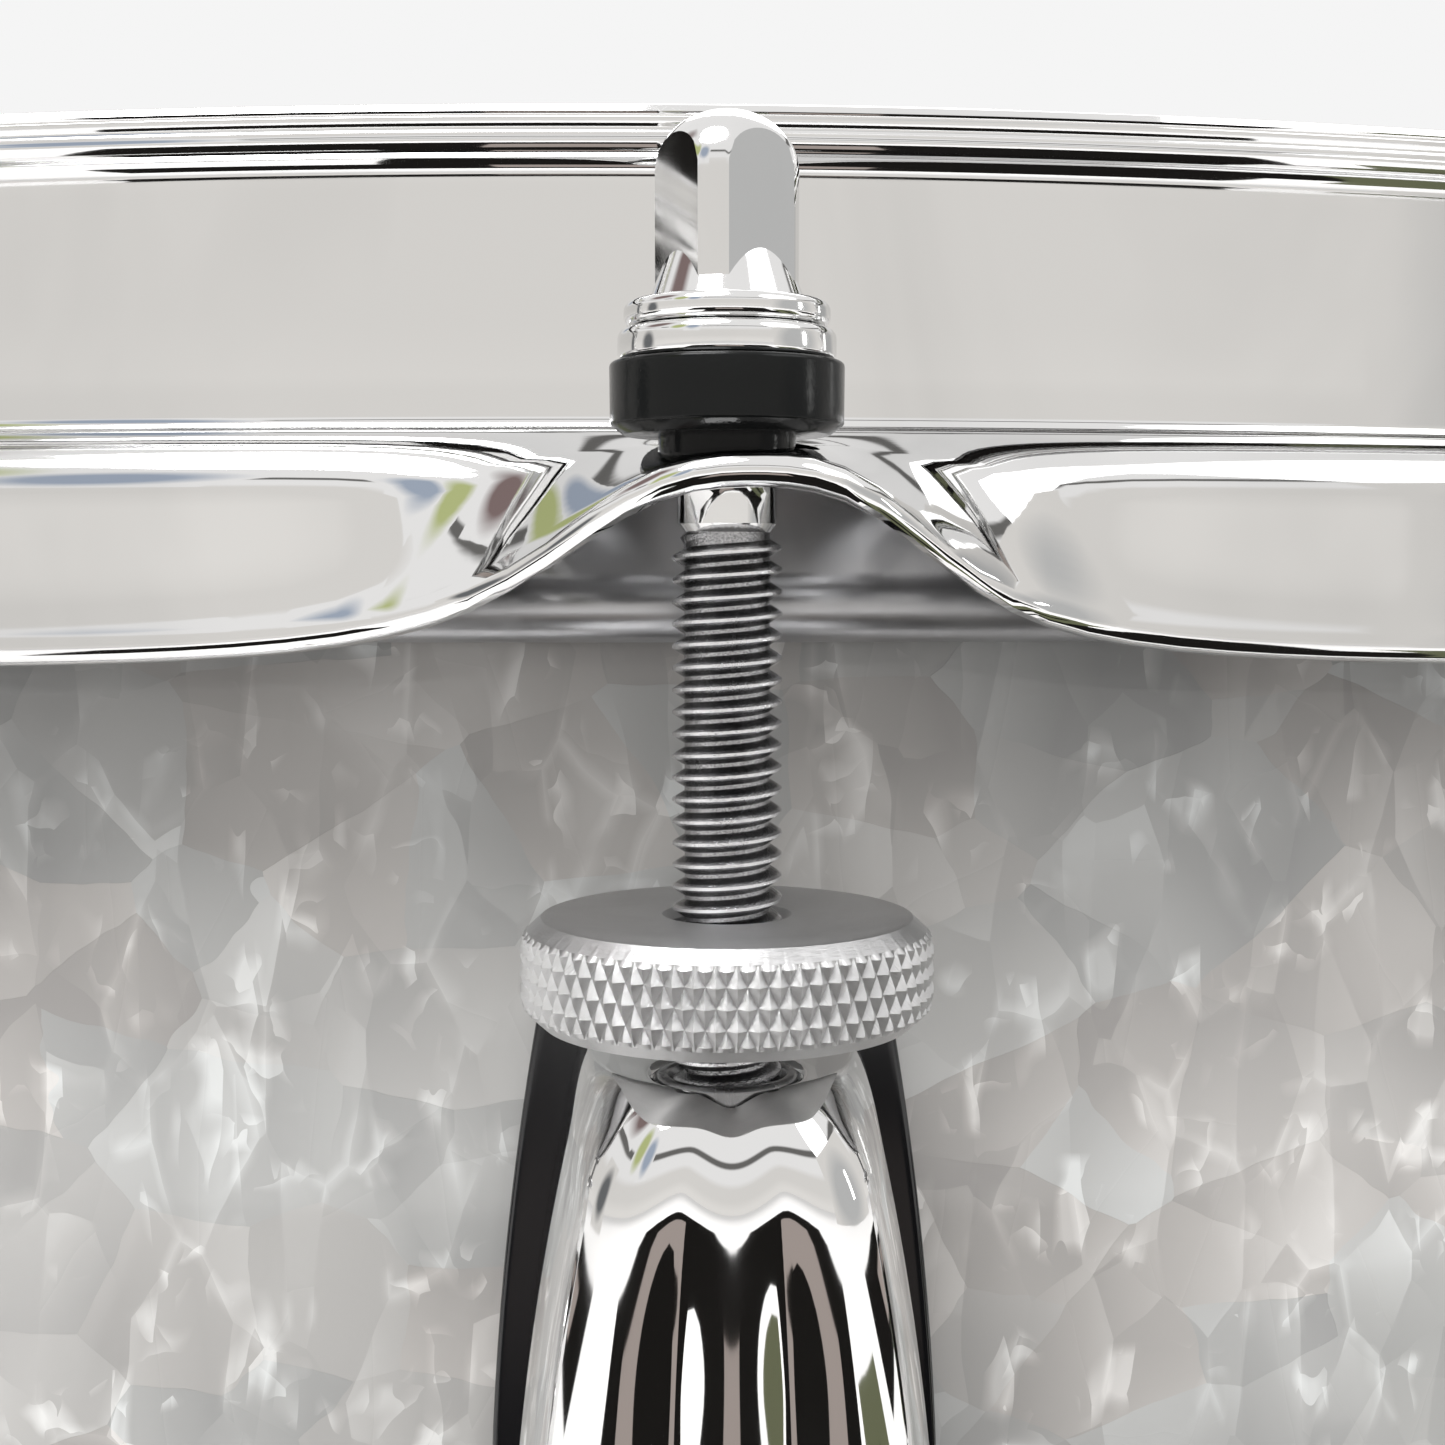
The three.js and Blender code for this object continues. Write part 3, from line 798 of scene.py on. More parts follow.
def coating_material(finish):
    """Sprayed head coating: a fine stipple under cloudy colour."""
    made, tree, shader, place = material("sprayed_coating", roughness=0.8)
    stipple = noise(tree, place, 1600.0, 3.0, 0.7)
    stops = ((0.35, shaded(finish.coating, 0.95)), (0.65, finish.coating))
    tone = ramp(tree, noise(tree, place, 14.0, 3.0), *stops)
    coated(tree, shader, tone, span(tree, stipple, 0.62, 0.92), stipple, 0.00012, 0.8)
    return made


def finishes(context):
    """Every material of the drum, made once and found again by name."""
    finish = context.scene.snare_drum.finish
    plate, steel = finish.chrome, shaded(finish.thread_steel, 0.5)
    dull, clear = {"Specular IOR Level": 0.16}, {"Alpha": 0.5}
    makers = {
        "hoop_plate": (chrome_material, plate, {"scale": 30.0, "smudge": 0.86}),
        "lug_plate": (chrome_material, plate, 0.03, 0.07, {"ripple": 1.2e-5, "scale": 60.0}),
        "rod_plate": (chrome_material, plate, 0.05, 0.14, {"ripple": 1e-5, "scale": 160.0}),
        "strainer_plate": (chrome_material, plate, 0.05, 0.12, {"scale": 70.0}),
        "ring_aluminium": (
            chrome_material, finish.ring_metal, 0.3, 0.46, {"ripple": 2e-5, "scale": 90.0}
        ),
        "swivel_steel": (chrome_material, steel, 0.2, 0.35, {"scale": 300.0}),
        "snare_wire": (chrome_material, finish.wire, 0.16, 0.3, {"scale": 90.0}),
        "nut_aluminium": (turned_material, finish.aluminium, 0.26, 0.42, 0.00003, 14.0, {}),
        "black_nylon": (plastic_material, finish.nylon, 0.12, 0.25, {"sockets": dull}),
        "gasket_black": (
            plastic_material, finish.gasket, 0.12, 0.24, {"grain": 1e-6, "scale": 40.0}
        ),
        "hazy_film": (plastic_material, finish.film, 0.16, 0.3, {"scale": 30.0, "sockets": clear}),
        "bare_film": (plastic_material, finish.film, 0.2, 0.34, {"scale": 30.0}),
        "strap_nylon": (plastic_material, finish.strap, 0.3, 0.45, {}),
    }
    whole = {
        "thread_steel": lambda: thread_material(finish.thread_steel),
        "marine_pearl": lambda: pearl_material(finish),
        "maple_plies": lambda: wood_material(finish),
        "sprayed_coating": lambda: coating_material(finish),
    }

    def find(name):
        if name in bpy.data.materials:
            return bpy.data.materials[name]
        if name in whole:
            return whole[name]()
        make, *values, options = makers[name]
        return make(name, *values, **options)

    return find


# ------------------------------------------------------------------ shell and heads


def wrap_face(shell):
    """The pearl wrap's outside radius: it stands off the wood by the glue under it."""
    return shell.radius + 0.3 * MM + shell.wrap


class DRUM_OT_shell(bpy.types.Operator):
    """Spins the wood shell with its bearing edges, and the pearl wrap round it"""

    bl_idname = "snare_drum.shell"
    bl_label = "Shell and Wrap"

    def execute(self, context):
        sizes, finish = context.scene.snare_drum.shell, finishes(context)
        inner, crown = sizes.radius - sizes.wall, sizes.radius - sizes.crown
        low, high = sizes.edge_height, RIM_TOP - sizes.edge_height
        inward, outward = crown - inner, sizes.crown
        eased_crown = 0.35 * MM
        outline = rounded(
            [
                (inner, low + inward, 0.3 * MM),
                (crown, low, eased_crown),
                (sizes.radius, low + outward, eased_crown),
                (sizes.radius, high - outward, eased_crown),
                (crown, high, eased_crown),
                (inner, high - inward, 0.3 * MM),
            ],
            steps=3,
        )
        shell = spun("shell_plies", outline, 256)
        finished(shell, "drum", "shell_wood", finish("maple_plies"), stands_for=["shell"])
        gap = 0.02 * MM
        base, face = sizes.radius + gap, wrap_face(sizes)
        bottom, top = low + sizes.wrap_stop, high - sizes.wrap_stop
        edge = 0.15 * MM
        section = [(base, bottom, 0), (face, bottom, edge), (face, top, edge), (base, top, 0)]
        film = spun("pearl_film", rounded(section, steps=2), 256)
        finished(film, "drum", "pearl_wrap", finish("marine_pearl"), stands_for=["shell_wrap"])
        return {"FINISHED"}


class DRUM_OT_heads(bpy.types.Operator):
    """Spins both heads: film with its collar, and the flesh hoop that grips it"""

    bl_idname = "snare_drum.heads"
    bl_label = "Heads"

    def execute(self, context):
        sizes, finish = context.scene.snare_drum.head, finishes(context)
        edge = context.scene.snare_drum.shell.edge_height
        film, collar = sizes.film, sizes.collar
        bend = 2.6 * MM
        gap = 0.3 * MM
        flat = collar - bend

        centre, foot = (flat, gap - bend + 2 * film), -sizes.collar_drop
        film_outline = [
            (0, gap + 2 * film),
            *arc(centre, bend + film, 90, 0, 10),
            (collar + film, foot),
            (collar, foot),
            *arc(centre, bend, 0, 90, 10),
            (0, gap + film),
        ]
        bottom, top = -sizes.ring_top - sizes.ring_height, -sizes.ring_top
        half_bulge = sizes.ring_bulge / 2
        recess = sizes.ring_outer - 0.8 * MM
        swell = arc((sizes.ring_outer - half_bulge, bottom + half_bulge), half_bulge, -78, 48, 12)
        ring_outline = [
            (sizes.ring_inner, bottom + 0.3 * MM),
            (sizes.ring_inner + 0.3 * MM, bottom),
            *swell,
            (recess, bottom + sizes.ring_bulge + 0.1 * MM),
            (recess, top - 0.4 * MM),
            (recess - 0.12 * MM, top - 0.12 * MM),
            (recess - 0.4 * MM, top),
            (sizes.ring_inner + 0.3 * MM, top),
            (sizes.ring_inner, top - 0.3 * MM),
        ]
        film_source = spun("head_film", film_outline, 256)
        ring_source = spun("head_ring", ring_outline, 256)
        sides = {
            "batter": (Matrix.Translation((0, 0, RIM_TOP - edge)), "bare_film", "coated_film"),
            "snare_side": (
                Matrix.Translation((0, 0, edge)) @ Matrix.Rotation(math.pi, 4, "X"),
                "hazy_film",
                "clear_film",
            ),
        }
        for side, (place, film_finish, film_slot) in sides.items():
            drumhead = copy_of(film_source, f"{side}_film", place)
            ring = copy_of(ring_source, f"{side}_ring", place)
            metal = finish("ring_aluminium")
            node = f"{side}_head"
            finished(drumhead, "drum", film_slot, finish(film_finish), stands_for=[node])
            node = f"{side}_flesh_hoop"
            finished(ring, "drum", "flesh_hoop_metal", metal, stands_for=[node])
        removed(film_source, ring_source)
        film_top = RIM_TOP - edge + gap + 2 * film
        low, high = film_top - 0.01 * MM, film_top + 0.08 * MM
        radius, feather = sizes.coating_radius, 0.4 * MM
        section = [(0, low), (radius, low), (radius - feather, high), (0, high)]
        coating = spun("batter_coating", section, 192)
        finished(coating, "drum", "coated_film", finish("sprayed_coating"))
        return {"FINISHED"}


# ------------------------------------------------------------------ hoops


def hoop_fold(sizes, steps):
    """The sheet from the shoulder to its free edge: as a skirt, and as an ear."""
    drop, bend = sizes.flange_drop, sizes.skirt - sizes.shoulder
    skirt = arc((sizes.shoulder, -drop - bend), bend, 90, 0, steps // 2)
    straight = steps - steps // 2
    for i in range(1, straight + 1):
        share = i / straight
        height = mixed(-drop - bend, -sizes.skirt_drop, share)
        skirt.append((sizes.skirt + sizes.skirt_curl * share**5, height))
    start = Vector((sizes.shoulder, -drop))
    first = Vector((sizes.shoulder + 1.9 * MM, -drop - sizes.ear_seat))
    second = Vector((sizes.ear - 4.4 * MM, -drop - sizes.ear_seat))
    end = Vector((sizes.ear, -drop - sizes.ear_dip))
    ear = []
    for i in range(steps + 1):
        t = i / steps
        s = 1 - t
        point = s**3 * start + 3 * s * s * t * first + 3 * s * t * t * second + t**3 * end
        ear.append(tuple(point))
    return skirt, ear


def hoop_section(sizes, offset, upper, fold):
    """The middle of the sheet at a distance along the rod circle from the nearest ear."""
    steepness = 2.6
    flare = math.exp(-((offset / sizes.ear_spread) ** steepness))
    rise = 1 / (1 + (offset / sizes.scallop_spread) ** steepness)
    skirt, ear = fold
    return upper + [
        (mixed(a[0], b[0], flare), mixed(a[1], b[1], rise)) for a, b in zip(skirt, ear)
    ]


def lip_bead(sizes):
    """The lip's outer face, from its top down: rounded, with shallow steps left by rolling."""
    depth, step = sizes.bead, 0.07 * MM
    profile = [
        (0.5 * MM, 0.02 * MM),
        (0.14 * MM, 0.16 * MM),
        (0, 0.5 * MM),
        (step, depth * 0.25),
        (step, depth * 0.30),
        (0, depth * 0.33),
        (0, depth * 0.46),
        (step, depth * 0.50),
        (step, depth * 0.58),
        (0, depth * 0.62),
        (step * 0.6, depth * 0.70),
        (0, depth * 0.74),
        (0, depth - 0.45 * MM),
        (0.18 * MM, depth - 0.1 * MM),
        (0.5 * MM, depth),
        (0.9 * MM, depth - 0.15 * MM),
    ]
    return [(sizes.lip - inset, -drop) for inset, drop in profile]


def sheet_outline(middle, thickness, bead):
    """Both faces of a sheet round its middle line, from a rolled lip to a rounded edge."""
    half = thickness / 2
    over, under = [], []
    for i, point in enumerate(middle):
        before, after = middle[max(0, i - 1)], middle[min(len(middle) - 1, i + 1)]
        run = Vector((after[0] - before[0], after[1] - before[1])).normalized()
        over.append((point[0] - run.y * half, point[1] + run.x * half))
        under.append((point[0] + run.y * half, point[1] - run.x * half))

    def cap(centre, start):
        first = Vector(start) - Vector(centre)
        return [
            tuple(Vector(centre) + Matrix.Rotation(-math.pi * k / 5, 2) @ first)
            for k in range(1, 5)
        ]

    return [*over, *cap(middle[-1], over[-1]), *reversed(under), *bead]


class DRUM_OT_hoops(bpy.types.Operator):
    """Bends both flanged hoops: rolled lip, wall, flange, and a skirt that rises to ears"""

    bl_idname = "snare_drum.hoops"
    bl_label = "Hoops"

    def execute(self, context):
        sizes, finish = context.scene.snare_drum.hoop, finishes(context)
        half = sizes.sheet / 2
        lip_bend, flange_bend = sizes.lip_bend, sizes.flange_bend
        lip_centre = (sizes.wall + lip_bend, -half - lip_bend)
        flange_centre = (sizes.wall + flange_bend, -sizes.flange_drop + flange_bend)
        wall_top, wall_bottom = -half - lip_bend, -sizes.flange_drop + flange_bend
        upper = [(sizes.lip - half, -half), (sizes.lip - 2 * half, -half)]
        bead = lip_bead(sizes)
        upper += arc(lip_centre, lip_bend, 90, 180, 8)
        upper += [(sizes.wall, mixed(wall_top, wall_bottom, i / 6)) for i in range(1, 6)]
        upper += arc(flange_centre, flange_bend, 180, 270, 8)
        fold = hoop_fold(sizes, 22)
        step_angle = TURN / STATIONS
        columns_per_station = 56
        sections = {}

        def place(u, v):
            column = round(u * columns_per_station * STATIONS)
            station = round(column / columns_per_station)
            share = 2 * (column / columns_per_station - station)
            bunched = math.copysign(abs(share) ** 1.5, share) / 2
            key = round(abs(share) * columns_per_station)
            if key not in sections:
                offset = abs(bunched) * step_angle * ROD_CIRCLE
                middle = hoop_section(sizes, offset, upper, fold)
                sections[key] = sheet_outline(middle, sizes.sheet, bead)
            outline = sections[key]
            radius, height = outline[round(v * rows) % rows]
            turn = (station + bunched) * step_angle
            return (radius * math.cos(turn), radius * math.sin(turn), height)

        rows = len(sheet_outline(hoop_section(sizes, 0, upper, fold), sizes.sheet, bead))
        hoop = shaped_grid("hoop", columns_per_station * STATIONS, rows, place)
        drills = []
        for i in range(STATIONS):
            x, y = ROD_CIRCLE * math.cos(i * step_angle), ROD_CIRCLE * math.sin(i * step_angle)
            drills.append(bar("drill", sizes.hole, (x, y, -30 * MM), (x, y, -12 * MM), 40))
        cut_away(hoop, joined(*drills))
        first = station_angle(0) + sizes.ear_offset
        batter_place = Matrix.Translation((0, 0, RIM_TOP)) @ Matrix.Rotation(first, 4, "Z")
        snare_place = Matrix.Rotation(math.pi, 4, "X") @ Matrix.Rotation(first, 4, "Z")
        batter = copy_of(hoop, "batter_hoop_steel", batter_place)
        snare_side = copy_of(hoop, "snare_side_hoop_steel", snare_place)
        removed(hoop)
        low, high = (170 * MM, -26 * MM, -4 * MM), (192 * MM, 26 * MM, 12.4 * MM)
        gates = []
        for turn in (0, math.pi):
            gate = cut_block("gate", low, high, 3 * MM)
            gate.data.transform(Matrix.Rotation(STRAINER_ANGLE + turn, 4, "Z"))
            gates.append(gate)
        cut_away(snare_side, joined(*gates))
        for obj, node in ((batter, "batter_hoop"), (snare_side, "snare_side_hoop")):
            chrome = finish("hoop_plate")
            finished(obj, "drum", "hoop_chrome", chrome, smooth=40, stands_for=[node])
        return {"FINISHED"}


# ------------------------------------------------------------------ lugs


LUG_ROWS = (3, 20, 34)  # rows of faces in the bore, on a rolled end and down half the body
TAPER_POWER = 1.9  # how late a lug and its gasket narrow towards their ends


def lug_half_width(sizes, height):
    share = min(1.0, abs(height) / sizes.half_height)
    return sizes.half_width - sizes.taper * share**TAPER_POWER


def lug_front_angle(u):
    """Turns a share of the way round a lug into an angle, with most of it on the front."""
    front = 0.86
    if u <= front:
        return math.radians(-90 + 180 * u / front)
    return math.radians(90 + 180 * (u - front) / (1 - front))


def lug_outline(sizes, turn, height):
    """The lug's widest outline at a height: a boxy front with three round ribs."""
    bulge, bluntness, outer_rib, valley = 0.25, 0.21, 1.2, 0.015
    cosine, across = math.cos(turn), math.sin(turn)
    across *= 1 + bulge * (1 - across**2)
    share = height / sizes.half_height
    front = sizes.projection + sizes.belly * (1 - share**2)
    half_width = lug_half_width(sizes, height)
    x = sizes.foot - ROD_CIRCLE
    if cosine > 1e-6:
        x += front * max(0.0, 1 - abs(across) ** sizes.boxiness) ** bluntness
    depth = eased((sizes.half_height - abs(height) - 1.0 * MM) / (13 * MM))
    rib = abs(across) / sizes.groove_offset
    rib = rib if rib < 1 else 1 + (rib - 1) / outer_rib
    if rib < 2:
        swell = math.sqrt(math.cos(math.pi / 2 * rib) ** 2 + valley)
        x -= sizes.groove * depth * (1 - swell)
    return Vector((x, half_width * across, height))


def lug_point(sizes, turn, row):
    """Where a lug's surface is: up out of the bore, over the rolled end and down the body."""
    top = sizes.half_height
    bore_rows, end_rows, body_rows = LUG_ROWS
    frontness = eased(math.cos(turn) * 1.3)
    crown = mixed(0.9 * MM, sizes.crown, frontness)
    drop = mixed(1.0 * MM, sizes.crown_drop, frontness)
    lip = Vector((math.cos(turn), math.sin(turn), 0)) * (sizes.bore + 0.2 * MM)

    def end_point(share):
        """A point on the rolled end, from the bore's lip at 0 to the widest outline at 1."""
        run = (lug_outline(sizes, turn, top) - lip).xy.length
        roll = math.asin(max(0.0, 1 - run * (1 - share) / crown))
        height = top - drop * (1 - math.cos(roll))
        point = lip.lerp(lug_outline(sizes, turn, height), share)
        point.z = height
        return point

    if row < bore_rows:
        mouth = lip * (sizes.bore / (sizes.bore + 0.2 * MM))
        mouth.z = mixed(top - 12 * MM, end_point(0).z - 0.2 * MM, row / (bore_rows - 1))
        return mouth
    row -= bore_rows
    if row <= end_rows:
        return end_point(math.sin(math.pi / 2 * row / end_rows))
    share = (row - end_rows) / body_rows
    return lug_outline(sizes, turn, mixed(top - drop, 0, share))


class DRUM_OT_lugs(bpy.types.Operator):
    """Shapes a ribbed double-ended lug, its gasket, swivel nuts and screws, and copies them"""

    bl_idname = "snare_drum.lugs"
    bl_label = "Lugs and Gaskets"

    def execute(self, context):
        settings = context.scene.snare_drum
        sizes, finish = settings.lug, finishes(context)
        columns, rows = 150, sum(LUG_ROWS)

        def place(u, v):
            row = round(v * 2 * rows)
            turn = lug_front_angle(round(u * columns) / columns)
            if row <= rows:
                return lug_point(sizes, turn, row)
            point = lug_point(sizes, turn, 2 * rows - row)
            point.z = -point.z
            return point

        casting = capped(shaped_grid("casting", columns, 2 * rows, place))
        gasket = self.gasket(settings)
        swivel = self.swivel_nut(sizes)
        screw = self.screw(settings)
        for index in range(STATIONS):
            seat = at_station(index, MIDDLE)
            number = index + 1
            lug = copy_of(casting, f"lug_casting_{number}", seat)
            plate, node = finish("lug_plate"), f"lug_{number}"
            finished(lug, "drum", "lug_chrome", plate, smooth=50, stands_for=[node])
            seal = copy_of(gasket, f"lug_seal_{number}", seat)
            black = finish("gasket_black")
            node = f"lug_gasket_{number}"
            finished(seal, "drum", "black_gasket", black, stands_for=[node])
            for end, flipped in (("upper", False), ("lower", True)):
                height = sizes.half_height * (-1 if flipped else 1)
                matrix = at_station(index, MIDDLE + height, flipped)
                nut = copy_of(swivel, f"swivel_nut_{end}_{number}", matrix)
                finished(nut, "drum", "rod_chrome", finish("swivel_steel"))
                shift = Matrix.Translation((0, 0, 18 * MM * (-1 if flipped else 1)))
                bolt = copy_of(screw, f"lug_screw_{end}_{number}", seat @ shift)
                finished(bolt, "drum", "rod_chrome", finish("rod_plate"))
        removed(casting, gasket, swivel, screw)
        return {"FINISHED"}

    def gasket(self, settings):
        sizes = settings.lug
        back_radius = wrap_face(settings.shell) + 0.05 * MM
        front = sizes.foot - 0.06 * MM
        top = sizes.half_height + sizes.gasket_margin
        steps = 40
        outline = []
        for side in (1, -1):
            for i in range(steps + 1):
                height = top * math.cos(math.pi * i / steps) * side
                share = min(1.0, abs(height) / sizes.half_height)
                half_width = sizes.gasket_half_width - sizes.gasket_taper * share**TAPER_POWER
                corner = 1 - 0.12 * max(0.0, 1 - (top - abs(height)) / (1.2 * MM)) ** 2
                outline.append((front - ROD_CIRCLE, side * half_width * corner, height))
        obj = flat_face("seal", outline)
        with editing(obj):
            bpy.ops.mesh.remove_doubles(threshold=1e-6)
            bpy.ops.mesh.extrude_region_move(
                TRANSFORM_OT_translate={"value": (-sizes.gasket, 0, 0)}
            )
            bpy.ops.mesh.select_all(action="SELECT")
            bpy.ops.mesh.normals_make_consistent(inside=False)
        soften(obj, 0.35 * MM, 4, 50)
        inset_where(obj, lambda _, normal: normal.x > 0.999, 0.3 * MM)
        for vertex in obj.data.vertices:
            bend = back_radius - math.sqrt(back_radius**2 - vertex.co.y**2)
            back = eased((front - ROD_CIRCLE - vertex.co.x) / sizes.gasket)
            vertex.co.x -= bend * back
        return obj

    def swivel_nut(self, sizes):
        """The steel tube that takes the rod, standing a little out of the lug's mouth."""
        outer, inner = sizes.bore - 0.12 * MM, 2.72 * MM
        outline = rounded(
            [
                (outer, -11 * MM, 0.3 * MM),
                (outer, 0.08 * MM, 0.25 * MM),
                (inner + 0.2 * MM, 0.08 * MM, 0.2 * MM),
                (inner, -0.4 * MM, 0.1 * MM),
                (inner, -11 * MM, 0),
            ],
            steps=3,
        )
        return spun("swivel", outline, 64)

    def screw(self, settings):
        """A pan-head screw and its washer, inside the shell, holding the lug."""
        inner = settings.shell.radius - settings.shell.wall
        face = inner - ROD_CIRCLE
        washer = [(0, 0), (5.5, 0), (5.5, 0.9), (3.6, 1.0)]
        pan = [(3.5, 1.0), (3.5, 2.0), (3.0, 2.9), (2.0, 3.3), (0, 3.4)]
        obj = spun("screw", in_mm([*washer, *pan, (0, 0)]), 32, closed=False)
        obj.data.transform(
            Matrix.Translation((face - 0.05 * MM, 0, 0)) @ Matrix.Rotation(-math.pi / 2, 4, "Y")
        )
        low = (face - 3.6 * MM, -0.45 * MM, -4 * MM)
        return cut_away(obj, cut_block("slot", low, (face - 2.5 * MM, 0.45 * MM, 4 * MM)))


# ------------------------------------------------------------------ rods and washers


class DRUM_OT_rods(bpy.types.Operator):
    """Turns a tension rod with a real screw thread and its two washers, and copies them"""

    bl_idname = "snare_drum.rods"
    bl_label = "Tension Rods"

    def execute(self, context):
        sizes, finish = context.scene.snare_drum.rod, finishes(context)
        head = self.head(sizes)
        core = self.core(sizes)
        ridge = self.ridge(sizes)
        for obj, index in ((head, 0), (core, 1), (ridge, 1)):
            obj.data.materials.append(finish("rod_plate"))
            obj.data.materials.append(finish("thread_steel"))
            for face in obj.data.polygons:
                plain = obj is core and face.center.z > -sizes.shank_length
                face.material_index = 0 if plain else index
        rod = joined(head, core, ridge)
        self.mark_depth(rod, sizes)
        metal, nylon = self.washers(sizes)
        for side, seat, flipped in (
            ("batter", BATTER_SEAT, False),
            ("snare_side", SNARE_SEAT, True),
        ):
            for index in range(STATIONS):
                number = index + 1
                body = f"{side}_rod_{number}"
                seated = at_station(index, seat, flipped)
                # each square head has stopped at a heading of its own
                heading = math.radians(31.5 + 37 * index + (19 if flipped else 0))
                turned = seated @ Matrix.Rotation(heading, 4, "Z")
                piece = copy_of(rod, f"tension_rod_{side}_{number}", turned)
                finished(piece, body, "rod_chrome", smooth=19, stands_for=[body])
                piece = copy_of(metal, f"metal_washer_{side}_{number}", seated)
                finished(piece, body, "rod_chrome", finish("rod_plate"), smooth=40)
                piece = copy_of(nylon, f"nylon_washer_{side}_{number}", seated)
                finished(piece, body, "black_gasket", finish("black_nylon"), smooth=40)
        removed(rod, metal, nylon)
        return {"FINISHED"}

    def head(self, sizes):
        """Collar, cone and square head with turned corners, under a domed top."""
        bottom = sizes.nylon + sizes.metal
        collar_top = bottom + sizes.collar
        rounding = 0.5 * MM
        radius = sizes.collar_radius
        collar = [(0.0, bottom), (radius - rounding, bottom)]
        collar += arc((radius - rounding, bottom + rounding), rounding, -80, 0, 8)
        collar += arc((radius - rounding, collar_top - rounding), rounding, 0, 80, 8)
        edge = math.acos(sizes.flats / sizes.corners)
        flat_columns, corner_columns = 14, 8
        turns = []
        for quarter in range(4):
            middle = quarter * math.pi / 2
            turns += [middle - edge + 2 * edge * i / flat_columns for i in range(flat_columns)]
            corner = math.pi / 2 - 2 * edge
            turns += [middle + edge + corner * i / corner_columns for i in range(corner_columns)]
        cone_rows, side_rows, dome_rows = 7, 10, 14
        rows = len(collar) + cone_rows + side_rows + dome_rows
        dome_start = sizes.head_top - sizes.dome

        def place(u, v):
            turn = turns[round(u * len(turns)) % len(turns)]
            quarter = (turn + math.pi / 4) % (math.pi / 2) - math.pi / 4
            side = min(sizes.flats / math.cos(quarter), sizes.corners)
            cone_end = collar_top + (sizes.cone - side) / sizes.cone_slope
            dome_share = math.sqrt(max(0.0, 1 - (side / sizes.corners) ** 2))
            dome_foot = dome_start + sizes.dome * dome_share
            row = round(v * rows)
            if row < len(collar):
                reach, height = collar[row]
            elif row <= len(collar) + cone_rows:
                share = (row - len(collar)) / cone_rows
                height = mixed(collar_top, cone_end, share)
                reach = sizes.cone - sizes.cone_slope * (height - collar_top)
            elif row <= len(collar) + cone_rows + side_rows:
                share = (row - len(collar) - cone_rows) / side_rows
                height, reach = mixed(cone_end, dome_foot, share), side
            else:
                share = (row - len(collar) - cone_rows - side_rows) / dome_rows
                roll = mixed(math.asin(dome_share), math.pi / 2, share)
                height = dome_start + sizes.dome * math.sin(roll)
                reach = sizes.corners * math.cos(roll)
            return (reach * math.cos(turn), reach * math.sin(turn), height)

        return shaped_grid("head", len(turns), rows, place)

    def core(self, sizes):
        """Plain shank, the run-out and the body that the thread stands on."""
        top = sizes.nylon + sizes.metal + 0.05 * MM
        run_out = sizes.shank_length
        outline = [
            (0, top),
            (sizes.shank, top),
            (sizes.shank, -run_out + 0.4 * MM),
            (sizes.root, -run_out),
            (sizes.root, -sizes.reach + 0.8 * MM),
            (sizes.root - 0.8 * MM, -sizes.reach),
            (0, -sizes.reach),
        ]
        return spun("core", outline, 48, closed=False)

    def ridge(self, sizes):
        """One thread ridge carried down the core by a Screw modifier, its two ends closed."""
        start, end = -sizes.shank_length + 0.2 * MM, -sizes.reach + 1.0 * MM
        turns = int((start - end) / sizes.pitch)
        low = start - turns * sizes.pitch
        foot, crest = 0.42 * sizes.pitch, 0.07 * sizes.pitch
        profile = [
            (sizes.root - 0.15 * MM, -foot - 0.09 * MM),
            (sizes.root, -foot),
            (sizes.thread, -crest),
            (sizes.thread, crest),
            (sizes.root, foot),
            (sizes.root - 0.15 * MM, foot + 0.09 * MM),
        ]
        ring = [(radius, 0, low + height) for radius, height in profile]
        obj = wound(flat_face("ridge", ring, "NOTHING"), "Z", sizes.pitch, turns, 28)
        for vertex in obj.data.vertices:
            fade = min((start - vertex.co.z) / (0.9 * MM), (vertex.co.z - low) / (0.9 * MM), 1.0)
            radius = math.hypot(vertex.co.x, vertex.co.y)
            sunk = mixed(sizes.root - 0.2 * MM, radius, max(0.0, fade))
            vertex.co.x *= sunk / radius
            vertex.co.y *= sunk / radius
        return obj

    def mark_depth(self, rod, sizes):
        """Stores how far each point of the thread stands out, for the painted highlights on its crest
        and bottom.
        """
        depth = rod.data.attributes.new("stand", "FLOAT", "POINT")
        for vertex, mark in zip(rod.data.vertices, depth.data):
            radius = math.hypot(vertex.co.x, vertex.co.y)
            mark.value = min(1.0, max(0.0, (radius - sizes.root) / (sizes.thread - sizes.root)))

    def washers(self, sizes):
        hole = 2.95 * MM
        low, high = sizes.nylon + 0.03 * MM, sizes.nylon + sizes.metal - 0.03 * MM
        metal = [
            (hole, low, 0.15 * MM),
            (sizes.metal_radius, low, 0.3 * MM),
            (sizes.metal_radius, high, 0.5 * MM),
            (hole, high, 0.15 * MM),
        ]
        outer, seat = sizes.nylon_radius, sizes.seat
        nylon = [
            (hole, seat - sizes.shoulder, 0.1 * MM),
            (hole + 0.35 * MM, seat - sizes.shoulder, 0.1 * MM),
            (hole + 0.35 * MM, seat, 0),
            (outer - 0.7 * MM, seat, 0.2 * MM),
            (outer - 0.03 * MM, seat + 0.5 * MM, 0.2 * MM),
            (outer, sizes.nylon, 0.25 * MM),
            (hole, sizes.nylon, 0.1 * MM),
        ]
        return spun("metal", rounded(metal), 72), spun("nylon", rounded(nylon), 72)


